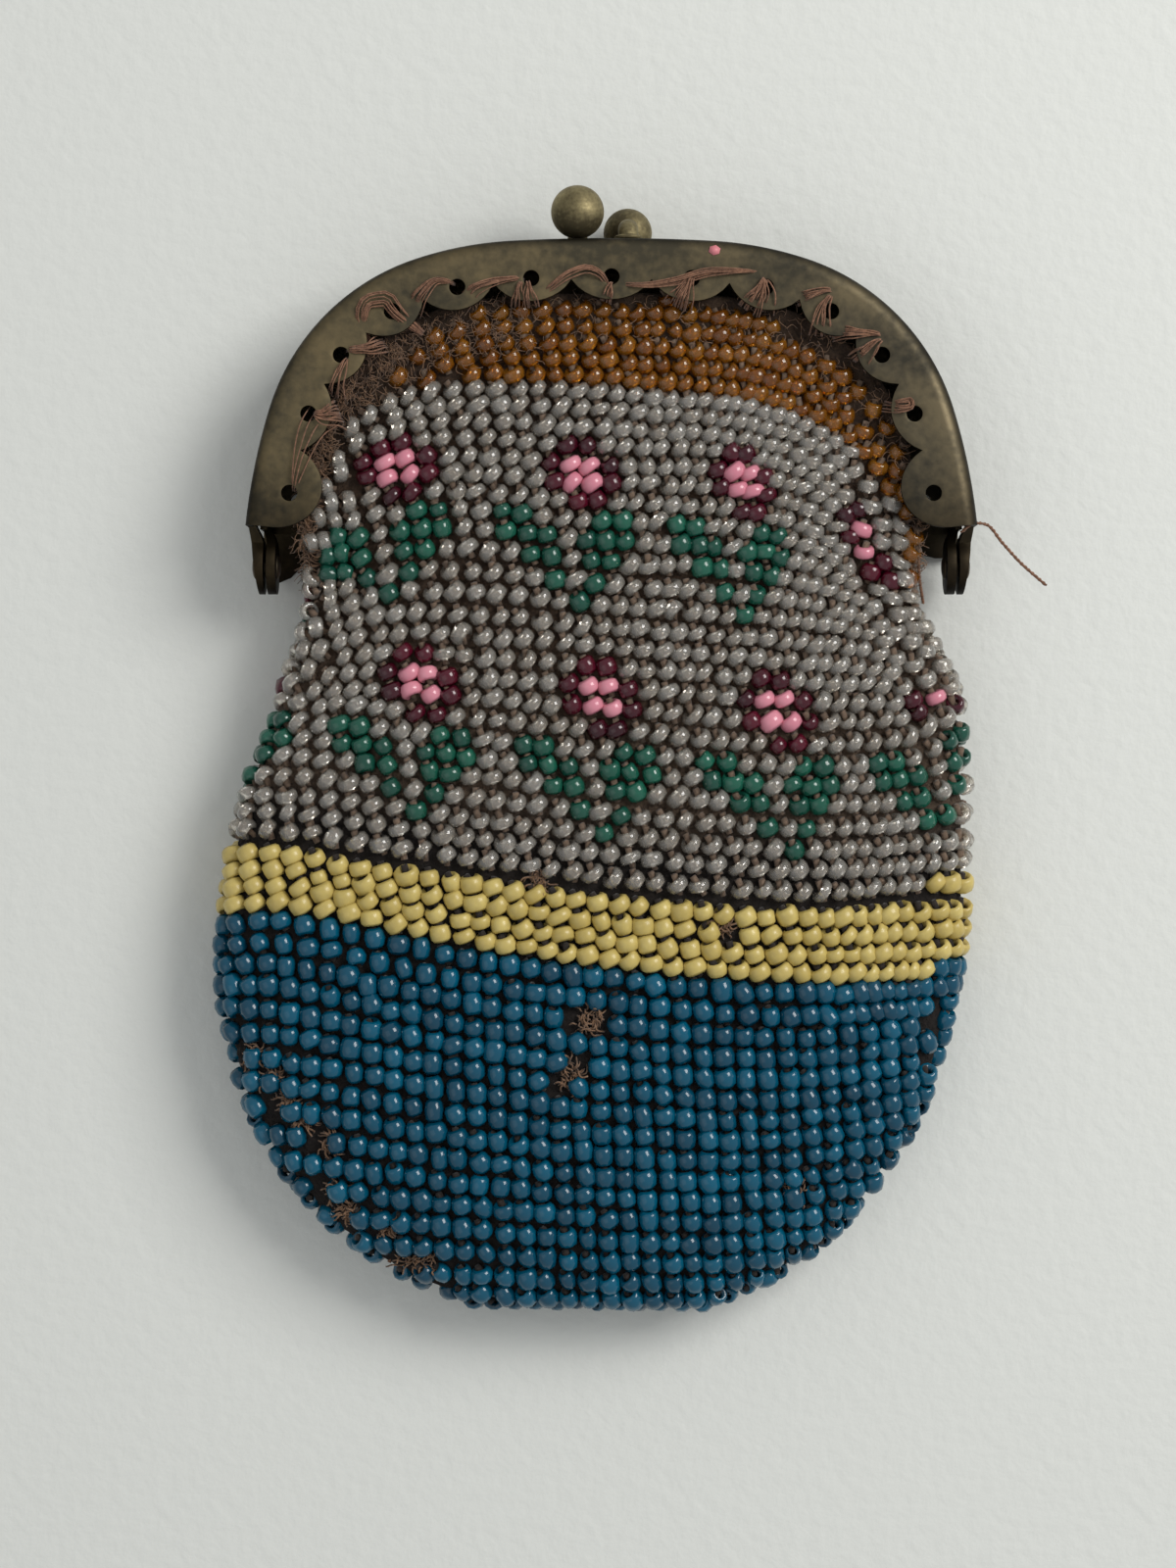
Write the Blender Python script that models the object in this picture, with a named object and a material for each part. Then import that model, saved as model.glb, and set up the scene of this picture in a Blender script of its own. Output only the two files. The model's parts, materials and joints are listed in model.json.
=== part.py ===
"""Beaded frame purse, closed and lying on its back.

Millimetres inside the functions, metres in the meshes. +X is to the right, +Y towards the clasp and
+Z up, away from the surface that the purse lies on. Frame points are written as (x, a, b): a is the
height above the hinge line towards the clasp, and b is the height above the closing plane.
"""
import math

import bmesh
import bpy
from mathutils import Vector
from mathutils.geometry import tessellate_polygon

MM = 0.001

# Arch of the frame, from the middle of the crown down to a leg end: radius and turn of each arc
CROWN_RADIUS = 170.0
CROWN_TURN = 3.0
BLEND_RADIUS = 32.5
BLEND_TURN = 15.6
SHOULDER_RADIUS = 20.3
SHOULDER_TURN = 54.3
LEG_RADIUS = 55.0
LEG_TURN = 11.1
ARC_STEP = 6.0

# Stamped sheet of a frame half
HALF_DEPTH = 4.95
SHEET = 0.6
RIM_RADIUS = 1.3
RIM_STEPS = 4
CLOSING_GAP = 0.3
NEST_INSET = 1.0
LAP = 0.5

# Scalloped sewing plate
HOLE_COUNT = 13
HOLE_RADIUS = 0.73
HOLE_DEPTH = 3.6
HOLE_SIDES = 10
TIP_DEPTH = 3.8
LOBE_DROP = 1.8
LOBE_STEPS = 6
END_LOBE_RADIUS = 3.9
END_LOBE_DEPTH = 2.5
END_HOLE_RISE = 3.4

# Hinges; shares are of the lug's radius
LEG_RISE = 3.5
LUG_THICKNESS = 0.8
LUG_RADIUS = 2.5
LUG_GAP = 0.3
LUG_TAPER = 0.6
LUG_ROOT = 0.9
LUG_STEPS = 7
LUG_TIP_SHARE = 0.97
EYE_TOP_SHARE = 0.8
EYE_FLAT_SHARE = 0.75
NECK_SHARE = 0.6
NECK_UPPER_TRIM = 0.5
NECK_LOWER_TRIM = 0.2
JOIN_TRIM = 0.04
CUT_REACH = 1.0
RIVET_RADIUS = 0.8
RIVET_CLEARANCE = 0.08
RIVET_HEAD_RADIUS = 1.35
RIVET_HEAD = 0.5
RIVET_SEAT_GAP = 0.05
RIVET_SIDES = 16
HEAD_TOP_SHARE = 0.6
HEAD_EDGE_SHARE = 0.92
# Heel of the back half's plate below each leg end: corners as x outwards and rise above the hinge line
LEFT_HEEL = ((31.25, 4.0), (31.2, 1.2), (30.5, -1.2), (29.3, -0.7), (27.9, 0.75), (27.3, 2.2), (27.3, 4.0))
RIGHT_HEEL = ((31.25, 4.0), (31.2, 1.3), (29.7, 1.1), (28.6, 1.4), (27.3, 2.1), (27.3, 4.0))

# Kiss-lock balls and their posts
BACK_BALL_RADIUS = 2.38
FRONT_BALL_RADIUS = 2.2
BALL_GAP = 0.2
BALL_SPACING = 4.55
BALL_PAIR_OFFSET = -0.75
BALL_CROSSING = 2.2
POST_RADIUS = 0.9
TAIL_RADIUS = 0.6
TAIL_CLEARANCE = 0.12
COLLAR_RADIUS = 1.25
COLLAR_HEIGHT = 0.35
TAIL_HEAD_SHARE = 0.7
TAIL_EDGE_SHARE = 0.95
TAIL_EDGE_HEIGHT = 0.4
POST_HEIGHT = 2.0
POST_LEAN = 0.1
POST_STEPS = 5
POST_SIDES = 12
BALL_STEPS = 8
BALL_END_ANGLE = 11.0

# Bead-crochet bag
EDGE_DEPTH = 4.8
EDGE_WALL = 1.2
WALL = 1.9
SIDE_CLEARANCE = 5.6
SIDE_DROP = 1.0
EDGE_START = 1.75
GATHER_ANGLE = 24.0
BEAD_RADIUS = 0.95
RIDGE_DEPTH = 0.75
LEAST_HALF_THICKNESS = 0.4
COLUMNS = 32
INNER_RINGS = 12
FLOOR_ROWS = 2
WAIST_DEPTH = 12.0
BAG_DEPTH = 67.4
SEAM_TRIM = 0.15
MIDDLE_OFFSET = -1.5
LEFT_BELLY = 34.0
LEFT_ROUND = 2.2
RIGHT_BELLY = 24.0
RIGHT_ROUND = 2.35
BAG_HALF_THICKNESS = 5.5
WAIST_HALF_THICKNESS = 5.0
THICKNESS_FALL = 44.0
THICKNESS_ROUND = 2.3
SECTION_ROUND = 0.78
ROW_DIP = 6.3

# Sewing thread
THREAD_RADIUS = 0.2
THREAD_GAP = 0.1
THREAD_SIDES = 5
STITCH_LEAN = 0.28
STITCH_REACH = 0.45
STITCH_CORNER = 0.22
# Loose end of the front thread: outset from the leg end, rise above it and lift above the closing plane
FRONT_TAIL = ((-4.3, 2.6, 4.05), (-2.6, -0.1, 3.85), (-0.6, -0.4, 3.65), (0.6, -0.3, 3.35),
              (2.6, -1.7, 2.55), (4.7, -3.5, 1.65), (6.5, -5.3, 1.05))

# Depth below the hinge line and outset from the leg end, down to the widest place of each side
LEFT_SIDE = ((0.0, -5.6), (6.0, -3.2), (12.0, -2.1), (20.0, 1.0), (28.0, 2.7), (34.0, 3.35))
RIGHT_SIDE = ((0.0, -6.4), (4.0, -3.5), (8.0, -1.2), (14.0, -0.25), (24.0, 0.15))
# Depth below the hinge line and share of the full dip of the rows towards the right
DIP_FADE = ((0.0, 0.05), (6.0, 0.22), (12.0, 0.4), (27.0, 0.86), (38.0, 1.0), (52.0, 0.6), (67.4, 0.0))
DIP_PLACE = 0.75
DIP_RETURN = 0.42
DIP_POWER = 1.25

# Bead rows from the mouth to the bottom: name, rows, row pitch and colour
ROW_ZONES = (
    ("amber", 6, 1.29, (0.42, 0.16, 0.03)),
    ("clear", 25, 1.74, (0.42, 0.37, 0.33)),
    ("yellow", 4, 1.70, (0.62, 0.50, 0.16)),
    ("blue", 16, 2.00, (0.01, 0.12, 0.24)),
)


def smooth_table(table, at):
    """Monotone cubic reading of a short table of (place, value) pairs."""
    places = [row[0] for row in table]
    values = [row[1] for row in table]
    if at <= places[0]:
        return values[0]
    if at >= places[-1]:
        return values[-1]
    slopes = [(values[k + 1] - values[k]) / (places[k + 1] - places[k]) for k in range(len(places) - 1)]
    tangents = [slopes[0]]
    for before, after in zip(slopes, slopes[1:]):
        same_way = before * after > 0
        tangents.append(2 * before * after / (before + after) if same_way else 0.0)
    tangents.append(slopes[-1])
    k = max(i for i in range(len(slopes)) if places[i] <= at)
    span = places[k + 1] - places[k]
    t = (at - places[k]) / span
    return (values[k] * (1 + 2 * t) * (1 - t) ** 2 + values[k + 1] * t * t * (3 - 2 * t)
            + tangents[k] * span * t * (1 - t) ** 2 - tangents[k + 1] * span * t * t * (1 - t))


class Arch:
    """Outer outline of the frame: tangent arcs, mirrored about the middle of the crown."""

    def __init__(self):
        arcs = ((CROWN_RADIUS, CROWN_TURN), (BLEND_RADIUS, BLEND_TURN),
                (SHOULDER_RADIUS, SHOULDER_TURN), (LEG_RADIUS, LEG_TURN))
        self.half = []
        x = 0.0
        drop = 0.0
        heading = 0.0
        along = 0.0
        for radius, turn in arcs:
            self.half.append((along, x, drop, heading, radius))
            start = math.radians(heading)
            heading += turn
            end = math.radians(heading)
            x += radius * (math.sin(end) - math.sin(start))
            drop += radius * (math.cos(start) - math.cos(end))
            along += radius * math.radians(turn)
        self.half_length = along
        self.leg_x = x
        self.crown = LEG_RISE + drop

    @property
    def length(self):
        return 2 * self.half_length

    def at(self, along, depth=0.0):
        """(x, a) at a length along the outline from the left leg end, moved inwards by depth."""
        signed = along - self.half_length
        side = 1.0 if signed >= 0 else -1.0
        distance = min(abs(signed), self.half_length)
        start, x, drop, heading, radius = [arc for arc in self.half if arc[0] <= distance + 1e-9][-1]
        before = math.radians(heading)
        angle = before + (distance - start) / radius
        x += radius * (math.sin(angle) - math.sin(before))
        drop += radius * (math.cos(before) - math.cos(angle))
        x -= depth * math.sin(angle)
        rise = self.crown - drop - depth * math.cos(angle)
        past_end = abs(signed) - distance
        return side * (x + past_end * math.cos(angle)), rise - past_end * math.sin(angle)

    def stations(self):
        """Lengths along the outline, close enough together to follow each arc."""
        half = [0.0]
        for start, _, _, _, radius in self.half:
            following = [arc[0] for arc in self.half if arc[0] > start]
            end = following[0] if following else self.half_length
            count = max(2, math.ceil(math.degrees((end - start) / radius) / ARC_STEP))
            half += [start + (end - start) * (k + 1) / count for k in range(count)]
        right = [self.half_length + s for s in half]
        left = [self.half_length - s for s in reversed(half[1:])]
        return left + right


ARCH = Arch()
END_TIP = END_LOBE_RADIUS * (1 + math.sqrt(1 - ((TIP_DEPTH - END_LOBE_DEPTH) / END_LOBE_RADIUS) ** 2))
LOBE_PITCH = (ARCH.length - 2 * END_TIP) / (HOLE_COUNT - 2)
HINGE_X = ARCH.leg_x - LUG_TAPER
CLOSING_HEIGHT = BAG_HALF_THICKNESS
BALL_TOP = ARCH.crown + BALL_GAP + 2 * BACK_BALL_RADIUS
HINGE_Y = (BAG_DEPTH - SEAM_TRIM - BALL_TOP) / 2
FRAME_X = (LEFT_SIDE[-1][1] - FRONT_TAIL[-1][0] - THREAD_RADIUS) / 2


def world(x, a, b):
    """Metres in the part's frame of a point in frame terms."""
    return Vector((x + FRAME_X, a + HINGE_Y, b + CLOSING_HEIGHT)) * MM


def material(name, colour, roughness, metallic=0.0):
    """Principled material of one piece."""
    made = bpy.data.materials.new(name)
    made.use_nodes = True
    shader = made.node_tree.nodes["Principled BSDF"]
    shader.inputs["Base Color"].default_value = (*colour, 1.0)
    shader.inputs["Roughness"].default_value = roughness
    shader.inputs["Metallic"].default_value = metallic
    return made


def add_object(name, points, faces, materials, parent=None, face_slots=None):
    """Closed mesh object from points in frame terms, its faces turned outwards."""
    mesh = bpy.data.meshes.new(name)
    builder = bmesh.new()
    vertices = [builder.verts.new(world(*point)) for point in points]
    for index, corners in enumerate(faces):
        face = builder.faces.new([vertices[c] for c in corners])
        face.smooth = True
        face.material_index = face_slots[index] if face_slots else 0
    bmesh.ops.recalc_face_normals(builder, faces=builder.faces)
    builder.to_mesh(mesh)
    builder.free()
    for made in materials:
        mesh.materials.append(made)
    mesh.set_sharp_from_angle(angle=math.radians(40))
    thing = bpy.data.objects.new(name, mesh)
    bpy.context.collection.objects.link(thing)
    if parent:
        thing.parent = parent
        thing.matrix_parent_inverse = parent.matrix_basis.inverted()
    return thing


def add_pivot(name):
    """Empty on the hinge line that carries the pieces of one frame half."""
    pivot = bpy.data.objects.new(name, None)
    pivot.empty_display_size = 0.01
    pivot.location = world(0, 0, 0)
    bpy.context.collection.objects.link(pivot)
    return pivot


def add_cutter(name, radius, sides, start, end):
    """Cylinder from start to end, both in frame terms, used only to cut."""
    first = world(*start)
    last = world(*end)
    cutter_mesh = bpy.data.meshes.new(name)
    builder = bmesh.new()
    bmesh.ops.create_cone(builder, cap_ends=True, segments=sides, radius1=radius * MM,
                          radius2=radius * MM, depth=(last - first).length)
    builder.to_mesh(cutter_mesh)
    builder.free()
    cutter = bpy.data.objects.new(name, cutter_mesh)
    bpy.context.collection.objects.link(cutter)
    cutter.location = (first + last) / 2
    cutter.rotation_mode = "QUATERNION"
    cutter.rotation_quaternion = (last - first).to_track_quat("Z", "Y")
    cutter.hide_render = True
    cutter.display_type = "WIRE"
    return cutter


def boolean(thing, other, operation):
    """Live exact boolean of one object with another."""
    modifier = thing.modifiers.new(f"{operation.lower()} {other.name}", "BOOLEAN")
    modifier.operation = operation
    modifier.solver = "EXACT"
    modifier.object = other
    other.hide_render = True
    other.display_type = "WIRE"


def tube(path, radii, sides):
    """Closed sweep of round sections along a path in frame terms, with flat ends."""
    centres = [Vector(point) for point in path]
    count = len(centres)
    points = []
    side = None
    for k, centre in enumerate(centres):
        ahead = (centres[min(k + 1, count - 1)] - centre)
        behind = (centre - centres[max(k - 1, 0)])
        tangent = ahead.normalized() + behind.normalized()
        tangent.normalize()
        if side is None:
            side = tangent.orthogonal()
        side = (side - tangent * side.dot(tangent)).normalized()
        other = tangent.cross(side)
        for j in range(sides):
            turn = 2 * math.pi * j / sides
            points.append(centre + radii[k] * (math.cos(turn) * side + math.sin(turn) * other))
    ends = [tuple(range(sides))[::-1], tuple((count - 1) * sides + j for j in range(sides))]
    return points, ends + sleeve(count, sides)


def hole_lengths():
    """Length along the outline of each sewing hole, and its depth from the outer edge."""
    middles = [END_TIP + LOBE_PITCH * (k + 0.5) for k in range(HOLE_COUNT - 2)]
    return [END_HOLE_RISE] + middles + [ARCH.length - END_HOLE_RISE]


def lobe_depth(share):
    """Depth of the scalloped edge across a lobe, share -1 to 1, as a circular arc between two tips."""
    half_chord = LOBE_PITCH * (1 - (TIP_DEPTH + LOBE_DROP) / (2 * SHOULDER_RADIUS)) / 2
    radius = (half_chord ** 2 + LOBE_DROP ** 2) / (2 * LOBE_DROP)
    return TIP_DEPTH + LOBE_DROP - radius + math.sqrt(radius ** 2 - (share * half_chord) ** 2)


def scallops():
    """(length, depth) points of the scalloped edge from the left leg end to the right one."""
    tip_angle = math.pi - math.asin((TIP_DEPTH - END_LOBE_DEPTH) / END_LOBE_RADIUS)
    steps = LOBE_STEPS + 3
    end_lobe = []
    for k in range(steps + 1):
        angle = tip_angle * k / steps
        along = END_LOBE_RADIUS * (1 - math.cos(angle))
        end_lobe.append((along, END_LOBE_DEPTH + END_LOBE_RADIUS * math.sin(angle)))
    edge = list(end_lobe)
    for lobe in range(HOLE_COUNT - 2):
        for k in range(1, LOBE_STEPS + 1):
            share = 2 * k / LOBE_STEPS - 1
            edge.append((END_TIP + LOBE_PITCH * (lobe + k / LOBE_STEPS), lobe_depth(share)))
    edge += [(ARCH.length - along, depth) for along, depth in reversed(end_lobe[:-1])]
    return edge


def sheet_profile(inset, wall_start):
    """Outer and inner (depth, b) skins of the stamped sheet, from the wall's free edge to the plate."""
    bend = HALF_DEPTH - RIM_RADIUS
    outer = [(inset, wall_start)]
    inner = [(inset + SHEET, wall_start)]
    for k in range(RIM_STEPS + 1):
        angle = math.pi / 2 * k / RIM_STEPS
        for skin, radius in ((outer, RIM_RADIUS), (inner, RIM_RADIUS - SHEET)):
            skin.append((inset + RIM_RADIUS - radius * math.cos(angle), bend + radius * math.sin(angle)))
    return outer, inner


def frame_sheet(inset, wall_start, face):
    """Points and faces of one stamping. face is 1 for the front half and -1 for the back half."""
    outer, inner = sheet_profile(inset, wall_start)
    stations = ARCH.stations()
    points = []
    faces = []

    def ring(along, skin):
        first = len(points)
        for depth, b in skin:
            x, a = ARCH.at(along, depth)
            points.append((x, a, face * b))
        return list(range(first, first + len(skin)))

    outer_rings = [ring(along, outer) for along in stations]
    inner_rings = [ring(along, inner) for along in stations]
    for rings in (outer_rings, inner_rings):
        for before, after in zip(rings, rings[1:]):
            for k in range(len(outer) - 1):
                faces.append((before[k], before[k + 1], after[k + 1], after[k]))
    for k in range(len(stations) - 1):
        faces.append((outer_rings[k][0], outer_rings[k + 1][0], inner_rings[k + 1][0], inner_rings[k][0]))

    edge = scallops()
    loops = {}
    for side, b, rings in (("top", HALF_DEPTH, outer_rings), ("under", HALF_DEPTH - SHEET, inner_rings)):
        lip = [ring(along, [(depth, b)])[0] for along, depth in edge]
        holes = []
        for along in hole_lengths():
            x, a = ARCH.at(along, HOLE_DEPTH)
            first = len(points)
            for k in range(HOLE_SIDES):
                turn = 2 * math.pi * k / HOLE_SIDES
                points.append((x + HOLE_RADIUS * math.cos(turn), a + HOLE_RADIUS * math.sin(turn), face * b))
            holes.append(list(range(first, first + HOLE_SIDES)))
        border = [station[-1] for station in rings] + lip[::-1]
        order = border + [index for hole in holes for index in hole]
        flat = [[Vector((points[i][0], points[i][1], 0)) for i in loop] for loop in [border] + holes]
        for corners in tessellate_polygon(flat):
            faces.append(tuple(order[c] for c in corners))
        loops[side] = (lip, holes)
    top_lip, top_holes = loops["top"]
    under_lip, under_holes = loops["under"]
    for k in range(len(edge) - 1):
        faces.append((top_lip[k], top_lip[k + 1], under_lip[k + 1], under_lip[k]))
    for top, under in zip(top_holes, under_holes):
        for k in range(HOLE_SIDES):
            after = (k + 1) % HOLE_SIDES
            faces.append((top[k], top[after], under[after], under[k]))
    for end in (0, -1):
        faces.append(tuple(outer_rings[end] + [top_lip[end], under_lip[end]] + inner_rings[end][::-1]))
    return points, faces


def lug(side, face, outer_x, root_inset):
    """Hinge lug: the side wall drawn down and flattened into an eye round the hinge line."""
    root = LEG_RISE + LUG_ROOT
    eye_top = LUG_RADIUS * EYE_TOP_SHARE
    tip = -LUG_RADIUS * LUG_TIP_SHARE
    wall_thickness = SHEET - 2 * JOIN_TRIM
    points = []
    for k in range(LUG_STEPS + 1):
        a = root + (tip - root) * k / LUG_STEPS
        flat = min(1.0, max(0.0, (root - a) / (root - LUG_RADIUS * EYE_FLAT_SHARE)))
        ease = flat * flat * (3 - 2 * flat)
        wall_x = -ARCH.at(LEG_RISE - a)[0] - root_inset - JOIN_TRIM
        skin = wall_x + (outer_x - wall_x) * ease
        thick = wall_thickness + (LUG_THICKNESS - wall_thickness) * ease
        eye = math.sqrt(LUG_RADIUS ** 2 - a ** 2) if a < eye_top else LUG_RADIUS * NECK_SHARE
        blend = min(1.0, max(0.0, (a - eye_top) / (root - eye_top)))
        high = eye + (HALF_DEPTH - RIM_RADIUS - NECK_UPPER_TRIM - eye) * blend
        low = -eye + (CLOSING_GAP / 2 + NECK_LOWER_TRIM + eye) * blend
        for x, b in ((skin, low), (skin, high), (skin - thick, high), (skin - thick, low)):
            points.append((side * x, a, face * b))
    corners = 4
    first_end = tuple(range(corners))
    last_end = tuple(corners * LUG_STEPS + c for c in reversed(first_end))
    return points, [first_end, last_end] + sleeve(LUG_STEPS + 1, corners)


def sleeve(rings, corners):
    """Four-cornered faces between rings of points that follow each other."""
    faces = []
    for k in range(rings - 1):
        for c in range(corners):
            after = (c + 1) % corners
            faces.append((corners * k + c, corners * k + after,
                          corners * (k + 1) + after, corners * (k + 1) + c))
    return faces


def heel(side, face, outline):
    """Thin prism that carries the sewing plate on below a leg end, beside the lug."""
    outer = HALF_DEPTH - JOIN_TRIM
    inner = HALF_DEPTH - SHEET + JOIN_TRIM
    points = [(side * x, a, face * b) for b in (inner, outer) for x, a in outline]
    count = len(outline)
    ends = [tuple(range(count))[::-1], tuple(range(count, 2 * count))]
    return points, ends + sleeve(2, count)


def frame_half(name, pivot, inset, wall_start, face, lug_outer, finish, post_x, heels=()):
    """One stamped frame half with its lugs, any heels, rivet holes and the hole for its ball's tail."""
    points, faces = frame_sheet(inset, wall_start, face)
    half = add_object(name, points, faces, [finish], pivot)
    for side, word in ((-1, "left"), (1, "right")):
        ear = add_object(f"guide_{name}_lug_{word}", *lug(side, face, lug_outer, inset), [finish])
        boolean(half, ear, "UNION")
    for side, outline in heels:
        word = "left" if side < 0 else "right"
        plate = add_object(f"guide_{name}_heel_{word}", *heel(side, face, outline), [finish])
        boolean(half, plate, "UNION")
    for side, word in ((-1, "left"), (1, "right")):
        reach = (side * (lug_outer + CUT_REACH), side * (lug_outer - LUG_THICKNESS - CUT_REACH))
        drill = add_cutter(f"guide_{name}_eye_{word}", RIVET_RADIUS + RIVET_CLEARANCE, RIVET_SIDES,
                           (reach[0], 0, 0), (reach[1], 0, 0))
        boolean(half, drill, "DIFFERENCE")
    wall_a = ARCH.crown - inset
    drill = add_cutter(f"guide_{name}_post_hole", TAIL_RADIUS + TAIL_CLEARANCE, POST_SIDES,
                       (post_x, wall_a + CUT_REACH, face * POST_HEIGHT),
                       (post_x, wall_a - SHEET - CUT_REACH, face * POST_HEIGHT))
    boolean(half, drill, "DIFFERENCE")
    return half


def ball_and_post(wall_a, face, x, radius, centre_a):
    """Riveted tail, collar, curved post and ball, turned as one path from inside the wall outwards."""
    b = face * POST_HEIGHT
    inside = wall_a - SHEET - RIVET_SEAT_GAP
    outside = wall_a + RIVET_SEAT_GAP * 2
    edge = COLLAR_RADIUS * TAIL_EDGE_SHARE
    path = [(inside - RIVET_HEAD, b, COLLAR_RADIUS * TAIL_HEAD_SHARE),
            (inside - RIVET_HEAD * TAIL_EDGE_HEIGHT, b, edge),
            (inside, b, edge), (inside, b, TAIL_RADIUS), (outside, b, TAIL_RADIUS),
            (outside, b, COLLAR_RADIUS), (outside + COLLAR_HEIGHT, b, COLLAR_RADIUS),
            (outside + COLLAR_HEIGHT, b, POST_RADIUS)]
    start = Vector((outside + COLLAR_HEIGHT, b))
    centre = Vector((centre_a, -face * BALL_CROSSING))
    bend = Vector((centre_a - POST_LEAN, b))
    arrive = (centre - bend).normalized()
    neck = centre - arrive * math.sqrt(radius ** 2 - POST_RADIUS ** 2)
    for k in range(1, POST_STEPS):
        t = k / POST_STEPS
        point = start * (1 - t) ** 2 + bend * 2 * t * (1 - t) + neck * t * t
        path.append((point.x, point.y, POST_RADIUS))
    first = math.pi - math.asin(POST_RADIUS / radius)
    last = math.radians(BALL_END_ANGLE)
    for k in range(BALL_STEPS + 1):
        angle = first + (last - first) * k / BALL_STEPS
        point = centre + arrive * radius * math.cos(angle)
        path.append((point.x, point.y, radius * math.sin(angle)))
    return turned_path(x, path, POST_SIDES)


def turned_path(x, path, sides):
    """Closed sweep in the plane of one x, from (a, b, radius) places; steps in radius stay square."""
    points = []
    count = len(path)
    for k, (a, b, radius) in enumerate(path):
        before = next((p for p in path[k::-1] if (p[0], p[1]) != (a, b)), None)
        after = next((p for p in path[k:] if (p[0], p[1]) != (a, b)), None)
        start = before or (a, b)
        end = after or (a, b)
        tangent = Vector((end[0] - start[0], end[1] - start[1])).normalized()
        for j in range(sides):
            turn = 2 * math.pi * j / sides
            reach = radius * math.sin(turn)
            points.append((x + radius * math.cos(turn), a - tangent.y * reach, b + tangent.x * reach))
    ends = [tuple(range(sides))[::-1], tuple((count - 1) * sides + j for j in range(sides))]
    return points, ends + sleeve(count, sides)


def hinge_rivet(side):
    """Headed rivet through the front and back lugs of one side."""
    outer = HINGE_X + RIVET_SEAT_GAP
    inner = HINGE_X - 2 * LUG_THICKNESS - LUG_GAP - RIVET_SEAT_GAP
    crest = (RIVET_HEAD, RIVET_HEAD_RADIUS * HEAD_TOP_SHARE)
    brow = (RIVET_HEAD * HEAD_TOP_SHARE, RIVET_HEAD_RADIUS * HEAD_EDGE_SHARE)
    profile = [(outer + crest[0], crest[1]), (outer + brow[0], brow[1]),
               (outer, RIVET_HEAD_RADIUS), (outer, RIVET_RADIUS), (inner, RIVET_RADIUS),
               (inner, RIVET_HEAD_RADIUS), (inner - brow[0], brow[1]), (inner - crest[0], crest[1])]
    points = []
    for x, radius in profile:
        for j in range(RIVET_SIDES):
            turn = 2 * math.pi * j / RIVET_SIDES
            points.append((side * x, radius * math.cos(turn), radius * math.sin(turn)))
    last = (len(profile) - 1) * RIVET_SIDES
    ends = [tuple(range(RIVET_SIDES)), tuple(last + j for j in range(RIVET_SIDES))]
    return points, ends + sleeve(len(profile), RIVET_SIDES)


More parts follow.
